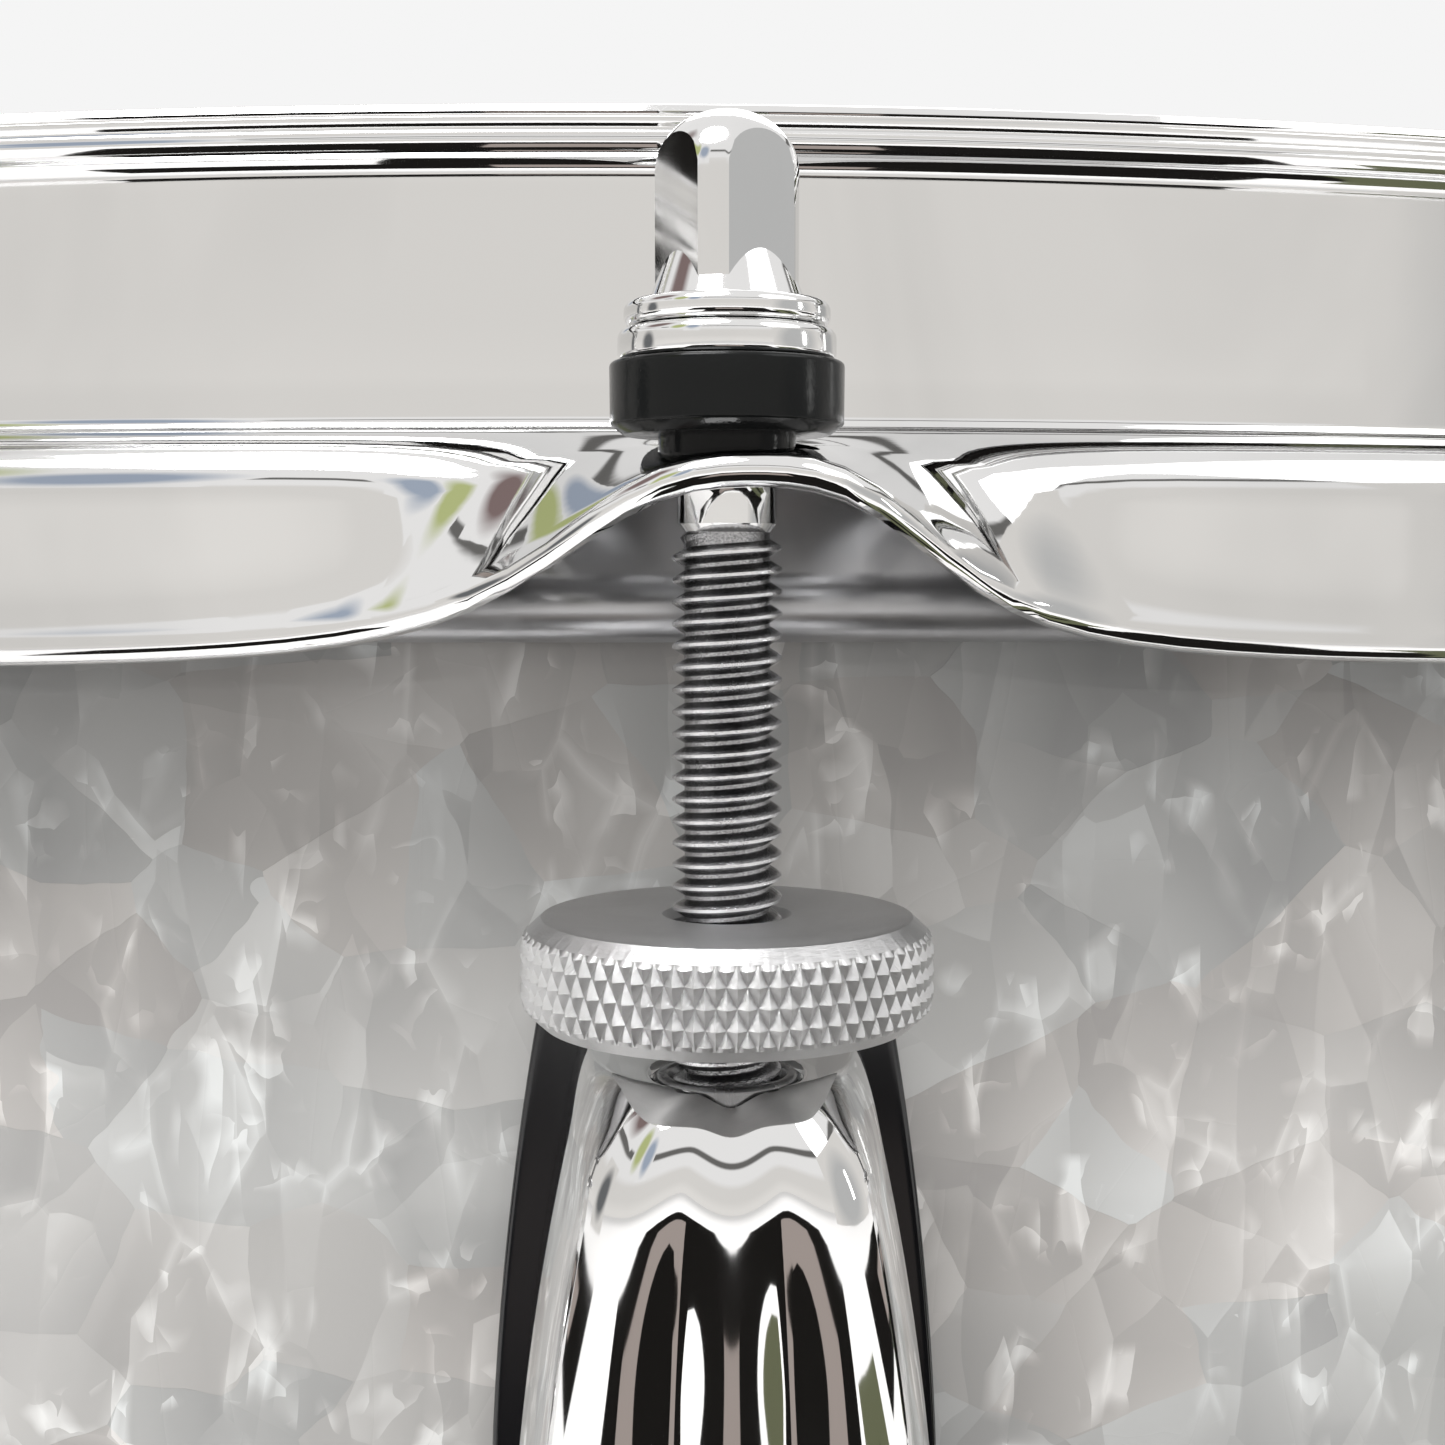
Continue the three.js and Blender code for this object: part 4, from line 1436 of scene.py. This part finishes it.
class DRUM_OT_lock_nuts(bpy.types.Operator):
    """Turns a knurled lock nut and copies it to every batter-side rod"""

    bl_idname = "snare_drum.lock_nuts"
    bl_label = "Lock Nuts"

    def execute(self, context):
        sizes, finish = context.scene.snare_drum.nut, finishes(context)
        nut = self.turned_blank(sizes)
        layer = nut.data.uv_layers.get("turning") or nut.data.uv_layers.new(name="turning")
        nut.data.uv_layers.active = layer
        for face in nut.data.polygons:
            middle = math.atan2(face.center.y, face.center.x)
            for loop in face.loop_indices:
                co = nut.data.vertices[nut.data.loops[loop].vertex_index].co
                turn = math.atan2(co.y, co.x)
                turn += TURN * round((middle - turn) / TURN)
                reach = math.hypot(co.x, co.y) / (10 * MM)
                layer.data[loop].uv = (turn / TURN, 12 * reach + co.z / MM)
        for index in range(STATIONS):
            # each nut has stopped at a turn of its own
            turned = Matrix.Rotation(math.radians(23 * index), 4, "Z")
            matrix = at_station(index, BATTER_SEAT) @ turned
            piece = copy_of(nut, f"knurled_nut_{index + 1}", matrix)
            node = f"lock_nut_{index + 1}"
            aluminium = finish("nut_aluminium")
            finished(piece, node, "lock_nut_aluminium", aluminium, smooth=22, stands_for=[node])
        removed(nut)
        return {"FINISHED"}

    def turned_blank(self, sizes):
        """The nut: turned faces and chamfers, and diamonds left between two sets of grooves."""
        top, bottom = -sizes.top, -sizes.top - sizes.thickness
        radius, chamfer, bore = sizes.radius, sizes.chamfer, sizes.bore
        half_diamond = 4  # grid steps across and down half a diamond
        columns = 2 * half_diamond * sizes.diamonds
        band_rows = 16
        run_out = sizes.knurl + 0.02 * MM
        band_low, band_high = bottom + chamfer - run_out, top - chamfer + run_out
        lower = [(bore, bottom + 0.45 * MM), (bore + 0.45 * MM, bottom), (radius * 0.6, bottom)]
        lower += [(radius - chamfer - 0.2 * MM, bottom), (radius - chamfer, bottom + 0.06 * MM)]
        upper = [(r, top + bottom - z) for r, z in reversed(lower)]
        rows = len(lower) + band_rows + 1 + len(upper)

        def crest(column, row):
            """Height of a diamond, in grid steps from the nearest groove."""
            period = 2 * half_diamond
            rising, falling = (column + row) % period, (column - row) % period
            return min(rising, period - rising, falling, period - falling)

        def place(u, v):
            column, row = round(u * columns), round(v * rows) % rows
            if row < len(lower):
                reach, height = lower[row]
            elif row > len(lower) + band_rows:
                reach, height = upper[row - len(lower) - band_rows - 1]
            else:
                row -= len(lower)
                height = mixed(band_low, band_high, row / band_rows)
                stand = min(1.0, crest(column, row) / (half_diamond - 0.8))
                past = abs(height - (top + bottom) / 2) - sizes.thickness / 2 + chamfer
                cone = radius - max(0.0, past)
                reach = min(cone, radius - sizes.knurl * (1 - stand))
            turn = TURN * column / columns
            return (reach * math.cos(turn), reach * math.sin(turn), height)

        nut = shaped_grid("nut", columns, rows, place)

        def in_groove(co):
            row = (co.z - band_low) / (band_high - band_low) * band_rows
            column = math.atan2(co.y, co.x) / TURN * columns
            inside = -0.5 < row < band_rows + 0.5 and math.hypot(co.x, co.y) > radius - chamfer
            return inside and crest(round(column), round(row)) == 0

        for part in (nut.data.vertices, nut.data.edges, nut.data.polygons):
            part.foreach_set("select", [False] * len(part))
        for vertex in nut.data.vertices:
            vertex.select = in_groove(vertex.co)
        only(nut)
        bpy.ops.object.mode_set(mode="EDIT")
        bpy.ops.mesh.select_mode(type="VERT")
        bpy.ops.mesh.vert_connect()
        bpy.ops.object.mode_set(mode="OBJECT")
        return nut


# ------------------------------------------------------------------ strainer and butt plate


def pan_screw(name, radius, height):
    """A slotted pan-head screw whose seat is at zero, head towards +X."""
    outline = [(0, 0), (radius, 0), (radius, height * 0.45), (radius * 0.8, height * 0.85)]
    outline += [(radius * 0.45, height), (0, height)]
    obj = spun(name, outline, 32, closed=False)
    obj.data.transform(Matrix.Rotation(math.pi / 2, 4, "Y"))
    half_slot, reach = radius * 0.14, radius * 1.2
    slot = cut_block("slot", (height * 0.55, -half_slot, -reach), (height * 1.3, half_slot, reach))
    return cut_away(obj, slot)


def screw_pair(prefix, radius, height, across, place):
    """Two pan screws, put in place by a matrix and moved apart to both sides."""
    screws = []
    for index, side in enumerate((-1, 1)):
        screw = pan_screw(f"{prefix}_{index + 1}", radius, height)
        screw.data.transform(Matrix.Translation((0, side * across, 0)) @ place)
        screws.append(screw)
    return screws


class DRUM_OT_strainer(bpy.types.Operator):
    """Builds the throw-off strainer: base, slide, lever and its pin, knob, clamp and screws"""

    bl_idname = "snare_drum.strainer"
    bl_label = "Strainer"

    def execute(self, context):
        sizes, finish = context.scene.snare_drum.strainer, finishes(context)
        chrome = finish("strainer_plate")
        turn = Matrix.Rotation(STRAINER_ANGLE, 4, "Z")
        back, half = sizes.back, sizes.half_width
        pivot_x, pivot_z = math.hypot(LEVER_PIVOT.x, LEVER_PIVOT.y), LEVER_PIVOT.z

        def finish_all(rows):
            for obj, body, nodes in rows:
                obj.data.transform(turn)
                finished(obj, body, "strainer_chrome", chrome, stands_for=nodes)

        plate = cut_block("p", (back, -half, 52 * MM), (184 * MM, half, 118 * MM), 1.6 * MM, 4)
        cheek_outline = rounded(
            [
                (183, 54, 0),
                (192.5, 54, 3),
                (201, 61.5, 4),
                (201, 74.5, 4),
                (192.5, 90, 6),
                (183, 96, 0),
            ],
            steps=5,
        )
        cheeks = []
        for side in (-1, 1):
            cheek = cut_plate("cheek", in_mm(cheek_outline), 1.7 * MM, 0.5 * MM, 3)
            cheek.data.transform(Matrix.Translation((0, side * 15.3 * MM, 0)))
            cheeks.append(cheek)
        low, high = (183 * MM, -12 * MM, 106 * MM), (195 * MM, 12 * MM, 118 * MM)
        base = joined(plate, *cheeks, cut_block("bridge", low, high, 1.4 * MM, 4))
        cut_away(base, bar("hole", 3.0 * MM, (KNOB_AXIS, 0, 100 * MM), (KNOB_AXIS, 0, 125 * MM)))
        base = named(base, "strainer_body")

        low, high = (184.4 * MM, -13.2 * MM, 36 * MM), (188.9 * MM, 13.2 * MM, 98 * MM)
        slide = cut_block("strainer_slide_plate", low, high, 1.0 * MM, 3)
        inset_where(slide, lambda c, n: n.x > 0.9 and c.x > 188 * MM, 2.2 * MM, -0.5 * MM)

        lever = self.lever(pivot_x, pivot_z)
        left, right = (pivot_x, -18.2 * MM, pivot_z), (pivot_x, 18.2 * MM, pivot_z)
        pin = soften(bar("hinge_pin", 2.05 * MM, left, right), 0.5 * MM, 3)
        knob = self.knob()
        clamp, clamp_screws = strap_clamp(sizes, 38 * MM, "strainer")
        finish_all(
            [
                (base, "drum", ["strainer_base"]),
                (slide, "strainer_slide", ["strainer_slide"]),
                (lever, "strainer_lever", ["strainer_lever"]),
                (pin, "drum", ["lever_pin"]),
                (knob, "tension_knob", ["tension_knob"]),
                (named(clamp, "strap_clamp_bar"), "strainer_slide", ["strap_clamp"]),
                *[(screw, "strainer_slide", ()) for screw in clamp_screws],
            ]
        )
        place = Matrix.Translation((184 * MM, 0, 100 * MM))
        screws = screw_pair("strainer_mount_screw", 2.6 * MM, 1.6 * MM, 14.2 * MM, place)
        finish_all([(screw, "drum", ()) for screw in screws])
        return {"FINISHED"}

    def lever(self, pivot_x, pivot_z):
        outline = rounded(
            [
                (193.6, 63, 1.5),
                (195.2, 61.7, 1.5),
                (198.8, 61.7, 1.5),
                (200.8, 64.4, 2),
                (200.8, 72, 5),
                (198.4, 92, 12),
                (199.4, 104, 5),
                (202.8, 111.8, 1.2),
                (201.0, 114.4, 1.0),
                (197.2, 108, 5),
                (195.2, 96, 8),
                (193.8, 76, 4),
            ],
            steps=4,
        )
        lever = cut_plate("throw_lever", in_mm(outline), 10 * MM, 0.7 * MM)
        low, high = (190 * MM, -5.5 * MM, 78 * MM), (206 * MM, 5.5 * MM, 98 * MM)
        window = cut_block("window", low, high, 2 * MM)
        eye = bar("eye", 2.25 * MM, (pivot_x, -30 * MM, pivot_z), (pivot_x, 30 * MM, pivot_z))
        return cut_away(lever, window, eye)

    def knob(self):
        """A fluted knob on its adjusting screw."""
        flutes, grip_radius = 18, 7 * MM
        profile = [
            (0, 104.4),
            (2.6, 104.4),
            (2.6, 118.4),
            (7.2, 118.45),
            (8.0, 119.2),
            (8.0, 121),
            (8.0, 123),
            (8.0, 125),
            (7.6, 126.4),
            (6.6, 127.2),
            (4.0, 127.3),
            (0, 127.3),
        ]
        profile = in_mm(profile)
        columns = flutes * 8

        def place(u, v):
            reach, height = profile[round(v * (len(profile) - 1))]
            turn = TURN * u
            if reach > grip_radius:
                reach -= 0.45 * MM * (0.5 + 0.5 * math.cos(turn * flutes)) ** 3
            return (KNOB_AXIS + reach * math.cos(turn), reach * math.sin(turn), height)

        return shaped_grid("adjusting_knob", columns, len(profile) - 1, place)


def strap_clamp(sizes, bottom, side):
    """A bar that pinches a strap, with its two screws."""
    face = sizes.strap_face + sizes.strap + 0.02 * MM
    low, high = (face, -13 * MM, bottom), (face + 3.2 * MM, 13 * MM, bottom + 12 * MM)
    clamp = cut_block(f"{side}_clamp_bar", low, high, 0.9 * MM, 4)
    place = Matrix.Translation((face + 3.15 * MM, 0, bottom + 6 * MM))
    return clamp, screw_pair(f"{side}_clamp_screw", 3.0 * MM, 1.9 * MM, 8 * MM, place)


class DRUM_OT_butt_plate(bpy.types.Operator):
    """Builds the butt plate opposite the strainer, with its clamp and screws"""

    bl_idname = "snare_drum.butt_plate"
    bl_label = "Butt Plate"

    def execute(self, context):
        sizes, finish = context.scene.snare_drum.strainer, finishes(context)
        chrome = finish("strainer_plate")
        turn = Matrix.Rotation(STRAINER_ANGLE + math.pi, 4, "Z")
        outline = rounded(
            [
                (178.3, 36, 0.5),
                (188.9, 36, 2),
                (188.9, 56, 4),
                (184, 66, 3),
                (178.3, 66, 0.5),
            ],
            steps=5,
        )
        base = cut_plate("butt_body", in_mm(outline), 16 * MM, 1.0 * MM, 3)
        clamp, clamp_screws = strap_clamp(sizes, 38 * MM, "butt")
        place = Matrix.Translation((186.3 * MM, 0, 61.2 * MM))
        place @= Matrix.Rotation(math.radians(-26), 4, "Y")
        screws = screw_pair("butt_mount_screw", 2.6 * MM, 1.6 * MM, 11 * MM, place)
        rows = [(base, ["butt_base"]), (clamp, ["butt_clamp"])]
        rows += [(screw, ()) for screw in (*screws, *clamp_screws)]
        for obj, nodes in rows:
            obj.data.transform(turn)
            finished(obj, "drum", "strainer_chrome", chrome, stands_for=nodes)
        return {"FINISHED"}


class DRUM_OT_snares(bpy.types.Operator):
    """Winds the snare wires, sets them between end plates and lays the two straps"""

    bl_idname = "snare_drum.snares"
    bl_label = "Snares and Straps"

    def execute(self, context):
        settings = context.scene.snare_drum
        sizes, finish = settings.snares, finishes(context)
        turn = Matrix.Rotation(STRAINER_ANGLE, 4, "Z")
        coil = self.coil(sizes)
        spacing = 2 * sizes.half_width / sizes.wires
        for part in range(2):
            wires = []
            for index in range(part * sizes.wires // 2, (part + 1) * sizes.wires // 2):
                across = (index + 0.5) * spacing - sizes.half_width
                shift = Matrix.Translation((0, across, sizes.top - sizes.coil - sizes.wire))
                wires.append(copy_of(coil, f"wire_{index}", turn @ shift))
            strand = named(joined(*wires), f"snare_coils_{part + 1}")
            stands_for = ["snare_wires"] if part == 0 else ()
            wire = finish("snare_wire")
            finished(strand, "snare_wires", "snare_steel", wire, stands_for=stands_for)
        removed(coil)
        for end in (-1, 1):
            plate = self.end_plate(sizes, end)
            plate.data.transform(turn)
            finished(plate, "snare_wires", "snare_steel", finish("snare_wire"))
        for side, body, node, heading in (
            ("strainer", "strainer_slide", "strainer_strap", STRAINER_ANGLE),
            ("butt", "drum", "butt_strap", STRAINER_ANGLE + math.pi),
        ):
            strap = self.strap(settings, f"{side}_strap_strip")
            strap.data.transform(Matrix.Rotation(heading, 4, "Z"))
            plastic = finish("strap_nylon")
            finished(strap, body, "strap_plastic", plastic, stands_for=[node])
        return {"FINISHED"}

    def coil(self, sizes):
        """One coil along X, wound by a Screw modifier from a small ring of wire."""
        run = 2 * (sizes.reach - 13 * MM)
        turns = int(run / sizes.coil_pitch)
        bpy.ops.object.select_all(action="DESELECT")
        bpy.ops.mesh.primitive_circle_add(vertices=3, radius=sizes.wire)
        obj = named(bpy.context.object, "coil")
        obj.data.transform(Matrix.Rotation(math.pi / 2, 4, "X"))
        obj.data.transform(Matrix.Translation((-run / 2, 0, sizes.coil)))
        return wound(obj, "X", run / turns, turns, 8)

    def end_plate(self, sizes, end):
        """A plate with a slot for the strap."""
        near, far = sizes.reach - 16 * MM, sizes.reach
        half, top = sizes.half_width, sizes.top
        low, high = (near, -half, top - 1.9 * MM), (far, half, top - 0.05 * MM)
        plate = cut_block("end_plate", low, high, 0.4 * MM, 3)
        low, high = (far - 6 * MM, -11.5 * MM, top - 5 * MM), (far - 3.5 * MM, 11.5 * MM, top + 5 * MM)
        cut_away(plate, cut_block("slot", low, high))
        plate.data.transform(Matrix.Rotation(0 if end > 0 else math.pi, 4, "Z"))
        return named(plate, f"snare_end_plate_{'strainer' if end > 0 else 'butt'}")

    def strap(self, settings, name):
        """A strip that lies under the head, turns up outside the hoop and ends at its clamp."""
        sizes, snares = settings.strainer, settings.snares
        low = snares.top - sizes.strap
        outer, face = sizes.strap_face + sizes.strap, sizes.strap_face
        start, bend = snares.reach + 0.3 * MM, 3.2 * MM
        outside = arc((outer - bend, low + bend), bend, -90, 0, 8)
        inside = arc((outer - bend, low + bend), bend - sizes.strap, 0, -90, 8)
        outline = [(start, low), *outside, (outer, 53 * MM), (face, 53 * MM), *inside]
        outline.append((start, low + sizes.strap))
        return cut_plate(name, outline, sizes.half_strap, 0.15 * MM, 2)


class DRUM_OT_vent(bpy.types.Operator):
    """Spins the vent grommet and seats it through the shell"""

    bl_idname = "snare_drum.vent"
    bl_label = "Vent Grommet"

    def execute(self, context):
        sizes, finish = context.scene.snare_drum.shell, finishes(context)
        face = wrap_face(sizes)
        inner = sizes.radius - sizes.wall - 1.2 * MM
        outline = rounded(
            [
                (4.2 * MM, inner, 0.3 * MM),
                (6.6 * MM, inner, 0.4 * MM),
                (5.6 * MM, inner + 1.2 * MM, 0),
                (5.6 * MM, face + 0.05 * MM, 0),
                (8.9 * MM, face + 0.05 * MM, 0.2 * MM),
                (8.2 * MM, face + 1.6 * MM, 0.7 * MM),
                (4.2 * MM, face + 1.7 * MM, 1.0 * MM),
            ],
            steps=5,
        )
        vent = spun("vent_eyelet", outline, 72)
        vent.data.transform(Matrix.Rotation(math.pi / 2, 4, "Y"))
        vent.data.transform(Matrix.Rotation(sizes.vent_angle, 4, "Z"))
        vent.data.transform(Matrix.Translation((0, 0, MIDDLE)))
        chrome = finish("strainer_plate")
        finished(vent, "drum", "strainer_chrome", chrome, stands_for=["vent_grommet"])
        return {"FINISHED"}


# ------------------------------------------------------------------ stage


WINDOW_GLOW = (9.0, 9.0, 8.8)

# Cards lying round every second station: colour, near and far radius in metres, degrees round
# from the station, half-angle in degrees, height. Those turned away from a station lie at
# every fourth one only.
LYING_CARDS = (
    ("dark", 0.36, 0.66, 0, 28.0, 0.002),
    ("dark", 0.212, 0.37, 11, 25.0, 0.003),
    ("warm", 0.40, 0.53, 0, 9.0, 0.004),
    ("olive", 0.24, 0.50, 42, 10.0, 0.004),
    ("dark", 0.24, 0.40, 41, 2.0, 0.006),
)

# Panels hung round the first station: colour, the colour that a soft edge fades to, then
# azimuth, rise, width and height, all in degrees.
HUNG_PANELS = (
    ("sky", "ceiling", -40, 27, 18, 26),
    ("leaf", "ceiling", -58, 31, 20, 30),
    ("mauve", "ceiling", -98, 44, 34, 34),
    ("grey", "surround", -92, 4, 20, 26),
    ("pale", "surround", 76, 5, 60, 44),
    ("dark", None, -118, 12, 12, 7),
    ("window", None, 85, 7, 3, 12),
)


# Round lights aimed at the drum's middle: place, size in metres, power in watts.
SOFTBOXES = (
    ("key_softbox", (-0.4, -0.65, 1.35), 0.9, 21.0),
    ("fill_softbox", (0.9, -0.6, 0.9), 0.9, 4.0),
    ("back_softbox", (0.2, 1.0, 1.2), 1.2, 8.0),
)


def hung_panel(name, azimuth, rise, width, tall):
    """A card facing the front of the batter hoop, placed and sized in degrees."""
    distance, front = 0.9, -0.19
    half_wide = distance * math.tan(math.radians(width / 2))
    half_tall = distance * math.tan(math.radians(tall / 2))
    bpy.ops.object.select_all(action="DESELECT")
    bpy.ops.mesh.primitive_plane_add(size=2)
    obj = named(bpy.context.object, name)
    shape = Matrix.Diagonal((half_wide, 1, half_tall, 1)) @ Matrix.Rotation(math.pi / 2, 4, "X")
    away = Matrix.Translation((0, -distance, 0))
    lifted = Matrix.Rotation(-math.radians(rise), 4, "X")
    facing = Matrix.Rotation(math.radians(azimuth), 4, "Z") @ lifted
    obj.data.transform(Matrix.Translation((0, front, BATTER_SEAT)) @ facing @ away @ shape)
    return obj


def fan(name, near, far, half_angle, height):
    """A flat sector of a ring, lying at a height above the floor."""
    steps = 16
    spread = [math.radians(half_angle * (2 * i / steps - 1)) for i in range(steps + 1)]
    rim = [(far, turn) for turn in spread] + [(near, turn) for turn in reversed(spread)]
    return flat_face(name, [(r * math.cos(turn), r * math.sin(turn), height) for r, turn in rim])


def plain_glow(name, colour, edge=None):
    """A card's even glow; with an edge colour it fades to that colour all round."""
    made = bpy.data.materials.new(name)
    made.use_nodes = True
    tree = made.node_tree
    tree.nodes.clear()
    glow = add(tree, "Emission", {"Color": (*colour, 1)})
    add(tree, "OutputMaterial", {"Surface": glow.outputs[0]})
    if edge:
        place = add(tree, "TexCoord").outputs["UV"]
        centring = {"Vector": place, "Location": (-1, -1, 0), "Scale": (2, 2, 0)}
        centred = add(tree, "Mapping", centring).outputs[0]
        fade = add(tree, "TexGradient", {"Vector": centred}, gradient_type="SPHERICAL")
        feed(tree, glow, {"Color": ramp(tree, fade.outputs["Fac"], (0.05, edge), (0.5, colour))})
    return made


class DRUM_OT_stage(bpy.types.Operator):
    """Sets the pale floor, the surround, soft lights, dark cards and the camera"""

    bl_idname = "snare_drum.stage"
    bl_label = "Stage"

    def execute(self, context):
        stage = context.scene.snare_drum.stage
        self.floor(stage)
        self.surround(context, stage)
        self.cards(stage)
        self.lights()
        self.camera(context, stage)
        context.scene.view_settings.view_transform = "Standard"
        return {"FINISHED"}

    def floor(self, stage):
        """A pale floor, clear from below so that the drum's underside can be seen."""
        bpy.ops.object.select_all(action="DESELECT")
        bpy.ops.mesh.primitive_circle_add(vertices=128, radius=6, fill_type="NGON")
        floor = settled(named(bpy.context.object, "studio_floor"))
        made, tree, shader, place = material("studio_floor", roughness=0.6)
        stops = (0.3, shaded(stage.floor, 0.985)), (0.7, stage.floor)
        feed(tree, shader, {"Base Color": ramp(tree, noise(tree, place, 2.5, 3.0), *stops)})
        below = add(tree, "NewGeometry").outputs["Backfacing"]
        clear = add(tree, "BsdfTransparent").outputs[0]
        either = add(tree, "MixShader", {0: below, 1: shader.outputs[0], 2: clear})
        feed(tree, tree.nodes["Material Output"], {"Surface": either.outputs[0]})
        floor.data.materials.append(made)
        floor.visible_diffuse = False
        floor.visible_shadow = False

    def surround(self, context, stage):
        """The world: a pale backdrop to the eye, warm walls to metal, soft light to the rest."""
        world = bpy.data.worlds.new("studio")
        context.scene.world = world
        world.use_nodes = True
        tree = world.node_tree
        tree.nodes.clear()
        direction = add(tree, "TexCoord").outputs["Generated"]
        rise = add(tree, "SeparateXYZ", {0: direction}).outputs["Z"]
        gap = shaded(stage.surround, 0.2)  # the dark line where the walls meet the ceiling
        walls = (0.03, shaded(stage.surround, 1.11)), (0.12, stage.surround), (0.24, stage.surround)
        cove = (0.30, stage.ceiling), (0.42, stage.ceiling), (0.44, gap), (0.48, gap)
        tone = ramp(tree, rise, *walls, *cove, (0.50, stage.ceiling), (1.0, stage.ceiling))
        greys = ((0.38, 0.46), (0.50, 0.26), (0.65, 0.42), (0.90, 1.0))
        stops = [(height, (grey, grey, grey)) for height, grey in greys]
        falling = ramp(tree, between(tree, rise, -1.0, 1.0), *stops)
        room = add(tree, "Background", {"Color": tone}).outputs[0]
        soft = add(tree, "Background", {"Color": falling, "Strength": 1.5}).outputs[0]
        seen = add(tree, "Background", {"Color": (*stage.backdrop, 1)}).outputs[0]
        path = add(tree, "LightPath").outputs
        bounce = add(tree, "MixShader", {0: path["Is Diffuse Ray"], 1: room, 2: soft})
        chosen = {0: path["Is Camera Ray"], 1: bounce.outputs[0], 2: seen}
        surface = add(tree, "MixShader", chosen).outputs[0]
        add(tree, "OutputWorld", {"Surface": surface})

    def cards(self, stage):
        """Cards lying round the drum or hung beside it, seen only by the metal."""
        plain = {
            "dark": plain_glow("card_dark", stage.card),
            "warm": plain_glow("card_warm", stage.patch),
            "olive": plain_glow("card_olive", stage.olive),
            "window": plain_glow("card_window", WINDOW_GLOW),
        }
        for index in range(0, STATIONS, 2):
            for shade, near, far, centre, half_angle, height in LYING_CARDS:
                if centre and index % 4:
                    continue
                card = fan(f"{shade}_card_{index + 1}_{centre}", near, far, half_angle, height)
                turn = station_angle(index) + math.radians(centre)
                card.data.transform(Matrix.Rotation(turn, 4, "Z"))
                self.seen_by_metal(card, plain[shade])
        for shade, behind, azimuth, rise, width, tall in HUNG_PANELS:
            glow = plain.get(shade)
            if behind:
                edge = tuple(getattr(stage, behind))
                glow = plain_glow(f"panel_{shade}", tuple(getattr(stage, shade)), edge)
            self.seen_by_metal(hung_panel(f"{shade}_panel", azimuth, rise, width, tall), glow)

    def seen_by_metal(self, obj, made):
        obj.data.materials.clear()
        obj.data.materials.append(made)
        obj.visible_camera = False
        obj.visible_diffuse = False
        obj.visible_shadow = False
        obj.visible_transmission = False

    def lights(self):
        for name, place, size, power in SOFTBOXES:
            lamp = bpy.data.lights.new(name, "AREA")
            lamp.shape = "DISK"
            lamp.size = size
            lamp.energy = power
            obj = bpy.data.objects.new(name, lamp)
            bpy.context.collection.objects.link(obj)
            obj.location = place
            aim = Vector((0, 0, 0.08)) - Vector(place)
            obj.rotation_euler = aim.to_track_quat("-Z", "Y").to_euler()

    def camera(self, context, stage):
        lens = bpy.data.cameras.new("studio_camera")
        lens.lens = stage.lens
        lens.sensor_width = 36
        lens.clip_start = 0.005
        camera = bpy.data.objects.new("studio_camera", lens)
        bpy.context.collection.objects.link(camera)
        camera.location = stage.camera_place
        camera.rotation_euler = (math.pi / 2 + stage.camera_tilt, 0, stage.camera_turn)
        context.scene.camera = camera


# ------------------------------------------------------------------ panel and registration


OPERATORS = (
    DRUM_OT_shell,
    DRUM_OT_heads,
    DRUM_OT_hoops,
    DRUM_OT_lugs,
    DRUM_OT_rods,
    DRUM_OT_lock_nuts,
    DRUM_OT_strainer,
    DRUM_OT_butt_plate,
    DRUM_OT_snares,
    DRUM_OT_vent,
    DRUM_OT_stage,
)


class DRUM_PT_pieces(bpy.types.Panel):
    """Lists the operators in the order they are run, over the settings they read"""

    bl_idname = "DRUM_PT_pieces"
    bl_label = "Snare Drum"
    bl_space_type = "VIEW_3D"
    bl_region_type = "UI"
    bl_category = "Snare Drum"

    def draw(self, context):
        for operator in OPERATORS:
            self.layout.operator(operator.bl_idname)
        settings = context.scene.snare_drum
        for part in settings.bl_rna.properties.keys():
            group_settings = getattr(settings, part, None)
            if isinstance(group_settings, bpy.types.PropertyGroup):
                box = self.layout.box()
                box.label(text=part.replace("_", " ").title())
                for key in group_settings.bl_rna.properties.keys():
                    if key not in {"rna_type", "name"}:
                        box.prop(group_settings, key, text=key.replace("_", " ").capitalize())


CLASSES = (
    ShellSizes,
    HeadSizes,
    HoopSizes,
    LugSizes,
    RodSizes,
    LockNutSizes,
    StrainerSizes,
    SnareSizes,
    Finishes,
    StageSettings,
    SnareDrumSettings,
    *OPERATORS,
    DRUM_PT_pieces,
)


def register():
    for cls in CLASSES:
        bpy.utils.register_class(cls)
    bpy.types.Scene.snare_drum = bpy.props.PointerProperty(type=SnareDrumSettings)


def unregister():
    del bpy.types.Scene.snare_drum
    for cls in reversed(CLASSES):
        bpy.utils.unregister_class(cls)


def main():
    register()
    for operator in OPERATORS:
        category, name = operator.bl_idname.split(".")
        getattr(getattr(bpy.ops, category), name)()


if __name__ == "__main__":
    main()
